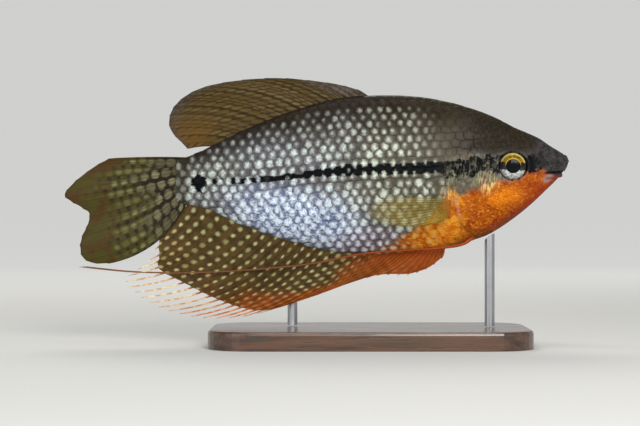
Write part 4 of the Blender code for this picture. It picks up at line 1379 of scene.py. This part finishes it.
def caudal_root(share):
    z = CAUDAL_BASE[0] + (CAUDAL_BASE[1] - CAUDAL_BASE[0]) * share
    return np.stack([np.full_like(z, STALK_END_X + 0.4), z], -1)


def caudal_zones(x, z, along, share):
    wave = 0.06 * wobble(x, z, 5.0, 8)
    return {"inner": 1 - fade(along + wave, 0.25, 0.55), "outer": fade(along + wave, 0.6, 0.85)}


def caudal_finish():
    finish = fin_finish("caudal_fin", (tint(56, 50, 22), tint(72, 64, 28)), tint(42, 36, 18))
    inner, outer, out = finish.map("inner"), finish.map("outer"), finish.map("out")
    bold, bold_chance = oval_spots(finish, 2.4, 2.0, (1.0, 0.8), 0.0, 0.4, soft=(1.25, 0.6))
    mid, mid_chance = oval_spots(finish, 2.2, 1.9, (0.85, 0.5), 0.0, 0.6, soft=(1.4, 0.3))
    speck, _ = oval_spots(finish, 2.2, 1.9, (0.5, 0.34), 0.0, 0.6, 0.5, (1.3, 0.6))
    blotch = finish.noise(3.4, 3.0).fade(0.42, 0.58)
    finish.set(Alpha=thin_edge(finish), Base_Color=finish.layers(
        finish.ground,
        (inner, tint(31, 26, 17)),
        (bold * inner * 0.85, finish.mix(bold_chance, tint(84, 78, 54), tint(136, 134, 104))),
        (mid * (1 - inner) * (1 - outer) * 0.85,
         finish.mix(mid_chance, tint(100, 97, 54), tint(130, 134, 86))),
        (outer * 0.9, finish.mix(blotch, tint(72, 50, 18), tint(70, 64, 24))),
        (speck * (1 - inner * 0.6) * out.fade(0.9, 0.62) * 0.8, tint(28, 23, 18)),
        (fine_rays(finish, 4) * 0.4, tint(50, 40, 30)),
        (finish.crest * 0.3, finish.ray_colour)))
    return finish


make_fin("caudal_fin", caudal_finish(), CAUDAL_RAYS, caudal_root, CAUDAL_TIPS,
         CAUDAL_WEB, CAUDAL_BOW, level, caudal_zones, ray_half=0.22, waves=(0.4, 2.4))

# %% [markdown]
# ## Pectoral fins
# These are clear enough to see the flank through: olive-yellow glass with fine dark rays and a
# red-orange root. Each stands straight out of the flank behind the gill cover and turns back
# along it. Glass could be a refracting shader, but plain alpha looks the same in so thin a sheet.

# %% Both pectoral fins
PECTORAL_CLEAR = 0.64  # how clear the membrane is between the rays


def flank_y(x, z):
    """How far the plain flank stands out at (x, z)."""
    middle = widest_z(x)
    reach = back(x) - middle if z > middle else middle - belly(x)
    keel = top_keel(x) if z > middle else bottom_keel(x)
    return float(half_width(x) * math.cos(math.asin((z - middle) / reach)) ** keel)


PECTORAL_BASE_Y = flank_y(PECTORAL_ROOT_X, sum(PECTORAL_ROOT) / 2) + 0.3


def pectoral_root(share):
    z = PECTORAL_ROOT[0] + (PECTORAL_ROOT[1] - PECTORAL_ROOT[0]) * share
    return np.stack([np.full_like(z, PECTORAL_ROOT_X), z], -1)


def pectoral_off(along):
    stand = PECTORAL_STAND * np.minimum(along / PECTORAL_STALK, 1.0)
    sunk = ROOT_SINK * (1 - np.minimum(along / (PECTORAL_STALK * 0.2), 1.0))
    return PECTORAL_BASE_Y + stand + PECTORAL_SPLAY * along - sunk


def pectoral_zones(x, z, along, share):
    return {"root": 1 - fade(along, 0.03, 0.2)}


def pectoral_finish():
    finish = fin_finish("pectoral_fin", (tint(138, 116, 34), tint(160, 140, 54)), tint(70, 56, 18))
    root = finish.map("root")
    spot, _ = oval_spots(finish, 2.6, 1.2, (0.7, 0.35))
    solid = (1 - (1 - finish.crest) * PECTORAL_CLEAR) * 0.75 + root * 0.3
    clear_end = finish.map("out").fade(0.6, 1.0) * 0.65
    finish.set(Alpha=solid * (1 - clear_end), Base_Color=finish.layers(
        finish.ground,
        (spot * 0.3, tint(172, 166, 92)),
        (finish.crest * 0.7, finish.ray_colour),
        (root * 0.8, tint(182, 84, 14))))
    return finish


pectoral = pectoral_finish()
for label, side in (("right", RIGHT), ("left", LEFT)):
    make_fin(f"pectoral_fin_{label}", pectoral, PECTORAL_RAYS, pectoral_root,
             PECTORAL_TIPS, PECTORAL_WEB, PECTORAL_BOW, pectoral_off, pectoral_zones,
             free_rows=4, ray_half=0.09, thick=(0.3, 0.1, 0.12), stalk=PECTORAL_STALK, side=side,
             waves=(0.15, 2.0))

# %% [markdown]
# ## Feelers
# The pelvic fins of a gourami are a pair of long threads, which it feels its way with. Each is a
# tapered tube swept along a smooth curve. A curve object with a bevel would do, but a tube of
# rings, built here, carries the same maps as the rest.

# %% Material of the threads
PELVIC_ROUTE = ((35.2, 0.9, 24.3), (32.6, 1.85, 22.4), (28.0, 2.05, 21.5), (20.0, 2.0, 20.95),
                (10.0, 1.95, 20.1), (0.0, 1.6, 18.1), (-12.0, 1.35, 16.8), (-26.0, 1.4, 16.0),
                (-40.0, 1.8, 16.1), (-52.0, 2.4, 17.2))
THREAD_SIDES, THREAD_RINGS = 12, 420
THREAD_RADIUS, THREAD_TAPER, THREAD_ROOT = 0.36, 0.27, 0.2


def thread_finish():
    finish = Finish("pelvic_thread", 0.45, Coat_Weight=0.08, Coat_Roughness=0.2,
                    Specular_IOR_Level=0.1)
    fire = finish.mix(finish.noise(1.2, 2.0), tint(132, 48, 12), tint(158, 68, 22))
    dull = finish.mix(finish.noise(1.6, 2.0), tint(98, 62, 36), tint(128, 84, 56))
    finish.set(Base_Color=finish.mix(finish.map("far").fade(0.12, 0.55), fire, dull))
    finish.bumps((finish.map("run") / 0.5).math("FRACT").fade(0.0, 0.3), 0.35, 0.04)
    return finish


# %% Two threads


def make_thread(name, side, finish):
    route = np.array(PELVIC_ROUTE)
    far = np.concatenate([[0.0], np.cumsum(np.linalg.norm(np.diff(route, axis=0), axis=1))])
    share = np.linspace(0, 1, THREAD_RINGS)
    path = smooth_path([(f, *point) for f, point in zip(far / far[-1], route)])(share)
    path[0, 1] -= 0.5  # the root's end lies inside the body
    run = unit(np.gradient(path, axis=0))
    first = unit(np.cross(run, np.array([0.0, 1.0, 0.0])))
    second = np.cross(run, first)
    turn = np.linspace(0, 2 * math.pi, THREAD_SIDES, endpoint=False)[None, :, None]
    radius = THREAD_RADIUS - THREAD_TAPER * share ** 0.45
    radius = radius + THREAD_ROOT * (1 - fade(share, 0.0, 0.05))
    radius = np.where(share > 0.99, radius * 0.55, radius) * (1 + 0.04 * np.sin(share * 900))
    around = first[:, None] * np.cos(turn) + second[:, None] * np.sin(turn)
    points = sided(path[:, None] + around * radius[:, None, None], side).reshape(-1, 3)
    quads, corners = tube_faces(THREAD_RINGS, THREAD_SIDES)
    last = (THREAD_RINGS - 1) * THREAD_SIDES
    caps = [tuple(range(THREAD_SIDES))[::-1], tuple(range(last, last + THREAD_SIDES))]
    cap_corners = [[0.001, 0.5] * THREAD_SIDES, [0.999, 0.5] * THREAD_SIDES]
    if side == RIGHT:
        quads, corners = quads[:, ::-1], corners[:, ::-1]
        caps = [cap[::-1] for cap in caps]
    maps = {"far": np.repeat(share, THREAD_SIDES), "run": np.repeat(share * far[-1], THREAD_SIDES)}
    return make_piece(name, points, list(quads) + caps, list(corners) + cap_corners, maps,
                      finish.material, (f"{name}_base", f"{name}_end"))


thread = thread_finish()
make_thread("pelvic_thread_right", RIGHT, thread)
make_thread("pelvic_thread_left", LEFT, thread)

# %% [markdown]
# ## Colours of the eye
# A fish has no eyelids, so the whole front of the eye shows: a black ring of skin, a gold upper
# iris, a dark band level with the stripe, a silver lower iris and a wide black pupil with a thin
# gold ring. Each point knows its place on the iris, so the colours are drawn by radius.

# %% Eye material
PUPIL_EDGE = (1.6, 1.52)  # each pair is where a soft edge starts and ends, by radius
PUPIL_RING_IN, PUPIL_RING_OUT = (1.54, 1.6), (1.84, 1.72)
CREAM_RIM_IN, CREAM_RIM_OUT = (2.42, 2.56), (2.92, 2.8)
BLACK_RIM = (2.82, 2.98)


def eye_finish():
    eye = Finish("eye", 0.3, Coat_Weight=0.16, Coat_Roughness=0.02, Specular_IOR_Level=0.05)
    ex, ez = eye.map("eye_x"), eye.map("eye_z")
    fibre = eye.noise(0.35, 3.0)
    radius = (ex * ex + ez * ez).math("SQRT")
    fuzzy = radius + (fibre - 0.5) * 0.25
    gold = eye.mix(eye.noise(0.5, 3.0).fade(0.35, 0.65), tint(84, 66, 8), tint(138, 112, 18))
    silver = eye.mix(fibre.fade(0.35, 0.65), tint(120, 126, 126), tint(206, 210, 204))
    rim = fuzzy.fade(*CREAM_RIM_IN) * fuzzy.fade(*CREAM_RIM_OUT)
    ring = radius.fade(*PUPIL_RING_IN) * radius.fade(*PUPIL_RING_OUT)
    band = ((ez + ex * 0.05).math("ABSOLUTE") + (fibre - 0.5) * 0.3).fade(1.0, 0.7)
    iris = eye.layers(
        eye.mix((ez + (fibre - 0.5) * 0.8).fade(-0.5, 0.1), silver, gold),
        (rim * (ez + 0.6).fade(-0.4, 0.6) * 0.8,
         eye.mix(fibre, tint(176, 154, 66), tint(222, 212, 150))),
        (band * 0.95, tint(13, 16, 24)),
        (ring * (ez - 0.1).fade(-0.2, 0.8) * 0.8, tint(188, 148, 50)),
        (radius.fade(*PUPIL_EDGE), tint(1, 2, 4)),
        (fuzzy.fade(*BLACK_RIM), tint(10, 9, 10)))
    eye.set(Base_Color=iris, Roughness=0.22 + fibre * 0.15)
    return eye


# %% [markdown]
# ## Eyeballs
# The ball is a grid of rings, a little flatter in front than a sphere, and the clear front of the
# eye is the shader's coat. It is set as deep in the head as the real one, inside the ring of skin.

# %% Eyeballs
EYE_RINGS, EYE_SPOKES = 44, 96


def make_eye(name, side, finish):
    lean = np.sin(np.linspace(0, math.pi / 2, EYE_RINGS + 1))[1:]
    turn = np.linspace(0, 2 * math.pi, EYE_SPOKES, endpoint=False)
    radius = EYE_RADIUS * np.concatenate([lean, lean[-2::-1]])
    front = np.sqrt(np.maximum(1 - (lean * 0.9999) ** 2.6, 0.0)) * EYE_HALF_DEPTH
    front[-1] = 0.0
    depth = np.concatenate([front, -front[-2::-1]])
    x = EYE_X + radius[:, None] * np.cos(turn)[None]
    z = EYE_Z + radius[:, None] * np.sin(turn)[None]
    y = np.broadcast_to((EYE_Y + depth)[:, None], x.shape)
    poles = np.array([[EYE_X, EYE_Y + end, EYE_Z] for end in (EYE_HALF_DEPTH, -EYE_HALF_DEPTH)])
    points = sided(np.concatenate([np.stack([x, y, z], -1).reshape(-1, 3), poles]), side)
    faces = [tuple(quad) for quad in tube_faces(len(radius), EYE_SPOKES)[0]]
    last, pole = (len(radius) - 1) * EYE_SPOKES, len(radius) * EYE_SPOKES
    for k in range(EYE_SPOKES):
        after = (k + 1) % EYE_SPOKES
        faces += [(pole, after, k), (pole + 1, last + k, last + after)]
    if side == LEFT:
        faces = [face[::-1] for face in faces]
    half = np.where(points[:, 1] * side >= EYE_Y - 1e-6, 0.25, 0.75)
    flat_u = half + (points[:, 0] - EYE_X) / EYE_RADIUS * 0.23
    flat_v = 0.5 + (points[:, 2] - EYE_Z) / EYE_RADIUS * 0.46
    corners = [[value for i in face for value in (flat_u[i], flat_v[i])] for face in faces]
    maps = {"eye_x": points[:, 0] - EYE_X, "eye_z": points[:, 2] - EYE_Z}
    return make_piece(f"{name}_ball", points, faces, corners, maps, finish.material, (name,))


eye = eye_finish()
make_eye("eye_right", RIGHT, eye)
make_eye("eye_left", LEFT, eye)

# %% [markdown]
# ## The stand
# The base and the two rods keep their own solids, since those shapes are right, and only get
# finishes. The base is dark stained wood under satin varnish: long wavy bands for the grain and
# fine pores along it. The rods are brushed steel, brushed round and not lengthwise.

# %% Finishes of the stand


def wood_finish():
    finish = Finish("stand_wood", 0.38, Coat_Weight=0.5, Coat_Roughness=0.16)
    wave = finish.noise(5.0, 2.0, (0.12, 1.0, 1.0))
    rings = finish.noise(1.3, 3.0, (0.06, 1.0, 1.0), 0.6) + wave * 0.5
    pores = finish.noise(0.35, 2.0, (0.05, 1.0, 1.0)).fade(0.56, 0.66)
    colour = finish.mix(rings.fade(0.5, 1.0), tint(44, 27, 18), tint(92, 60, 38))
    colour = finish.mix(pores * 0.55, colour, tint(24, 14, 9))
    finish.set(Base_Color=colour, Roughness=0.34 + pores * 0.18)
    finish.bumps(rings * 0.3 - pores, 0.35, 0.05)
    return finish


def steel_finish():
    finish = Finish("stand_steel", 0.3, Metallic=1.0)
    brushed = finish.noise(0.16, 3.0, (0.25, 0.25, 3.0))
    stains = finish.noise(3.0, 2.0)
    finish.set(Base_Color=finish.mix(stains, tint(150, 152, 156), tint(176, 178, 180)),
               Roughness=0.24 + brushed * 0.22)
    finish.bumps(brushed, 0.25, 0.02)
    return finish


def dress(finish, *nodes):
    """Gives the frame's own solids a new finish."""
    for node in nodes:
        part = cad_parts[node]
        for slot in part.material_slots:
            slot.link = "OBJECT"
            slot.material = finish.material
        print(node, "is dressed in", finish.material.name)


dress(wood_finish(), "stand_base")
dress(steel_finish(), "stand_rod_front", "stand_rod_rear")

# %% [markdown]
# ## Floor
# The model is looked at from every side, so the floor is a wide round dish: flat under the stand
# and rising gently far away all round, so that no horizon cuts across any picture. It is pale
# paper. Its far rim glows a little, as a studio's lit backdrop does, because the lamps near the
# model don't reach it.

# %% Floor
FLAT_RADIUS, RIM_RADIUS, RIM_HEIGHT = 600.0, 2400.0, 1000.0
SWEEP_SPOKES = 96


def floor_finish():
    finish = Finish("studio_paper", 0.85, Emission_Strength=1.0)
    paper = finish.mix(finish.noise(0.8, 3.0), tint(196, 196, 193), tint(204, 204, 201))
    away = finish.node("ShaderNodeVectorMath", {"operation": "LENGTH"}, {0: finish.place()}, output=1)
    glow = finish.mix(away.fade(120.0, 520.0), (0.0, 0.0, 0.0, 1.0), (0.42, 0.42, 0.41, 1.0))
    finish.set(Base_Color=paper, Emission_Color=glow)
    return finish


def make_floor():
    spread = np.concatenate([[300.0], np.linspace(FLAT_RADIUS, RIM_RADIUS, 30)])
    past_flat = np.maximum(spread - FLAT_RADIUS, 0.0) / (RIM_RADIUS - FLAT_RADIUS)
    climb = RIM_HEIGHT * past_flat ** 2.5
    turn = np.linspace(0, 2 * math.pi, SWEEP_SPOKES, endpoint=False)
    dish = bmesh.new()
    centre = dish.verts.new((0.0, 0.0, 0.0))
    rings = [[dish.verts.new((r * math.cos(t) * MM, r * math.sin(t) * MM, h * MM)) for t in turn]
             for r, h in zip(spread, climb)]
    for k in range(SWEEP_SPOKES):
        after = (k + 1) % SWEEP_SPOKES
        dish.faces.new((centre, rings[0][k], rings[0][after]))
        for near, far in zip(rings, rings[1:]):
            dish.faces.new((near[k], far[k], far[after], near[after]))
    mesh = bpy.data.meshes.new("studio_floor")
    dish.to_mesh(mesh)
    dish.free()
    mesh.shade_smooth()
    mesh.materials.append(floor_finish().material)
    floor = bpy.data.objects.new("studio_floor", mesh)
    bpy.context.scene.collection.objects.link(floor)
    return floor


floor = make_floor()
print("floor", RIM_RADIUS * 2 * MM, "m across")

# %% [markdown]
# ## Light
# Four soft lights do the work: a large key on the camera's side, a weak fill, a strip overhead for
# highlights on the back, and one behind that shines through the thin fins. A dim grey sky keeps
# the shadows open. Small hard lamps would make sharp glints on every scale, so all four are large.

# %% Lights
FISH_MIDDLE = (5.0, 0.0, 36.0)


def soft_light(name, place, size, power, colour=(1, 1, 1)):
    """An area light in millimetres and watts, turned to face the fish."""
    lamp = bpy.data.lights.new(name, "AREA")
    lamp.shape, lamp.size, lamp.size_y = "RECTANGLE", size[0] * MM, size[1] * MM
    lamp.energy, lamp.color = power, colour
    light = bpy.data.objects.new(name, lamp)
    light.location = Vector(place) * MM
    aim = Vector(FISH_MIDDLE) - Vector(place)
    light.rotation_euler = aim.to_track_quat("-Z", "Y").to_euler()
    bpy.context.scene.collection.objects.link(light)
    print(name, "light,", power, "W")


soft_light("key", (130, -400, 230), (220, 220), 1.75, (1.0, 0.98, 0.95))
soft_light("fill", (-260, -330, 90), (300, 300), 0.5, (0.92, 0.96, 1.0))
soft_light("overhead", (0, -10, 330), (320, 90), 0.3)
soft_light("rim", (-60, 260, 300), (260, 160), 0.6, (1.0, 0.97, 0.92))
world = bpy.data.worlds.new("studio")
world.use_nodes = True
sky = world.node_tree.nodes["Background"]
sky.inputs["Color"].default_value = (0.75, 0.77, 0.8, 1.0)
sky.inputs["Strength"].default_value = 0.33
bpy.context.scene.world = world

# %% [markdown]
# ## Camera
# The camera looks level at the fish's right side from where the photo was taken, which gives the
# same framing. A long lens far away keeps the side view nearly free of perspective.

# %% Camera
CAMERA_PLACE = (1.1, -391.0, 29.1)
lens = bpy.data.cameras.new("camera")
lens.lens, lens.sensor_width = 100.0, 36.0
lens.clip_start, lens.clip_end = 0.01, 10.0
camera = bpy.data.objects.new("camera", lens)
camera.location = Vector(CAMERA_PLACE) * MM
camera.rotation_euler = (math.pi / 2, 0.0, 0.0)
bpy.context.scene.collection.objects.link(camera)
bpy.context.scene.camera = camera
bpy.context.scene.view_settings.view_transform = "Standard"
print("camera", -CAMERA_PLACE[1], "mm from the fish")
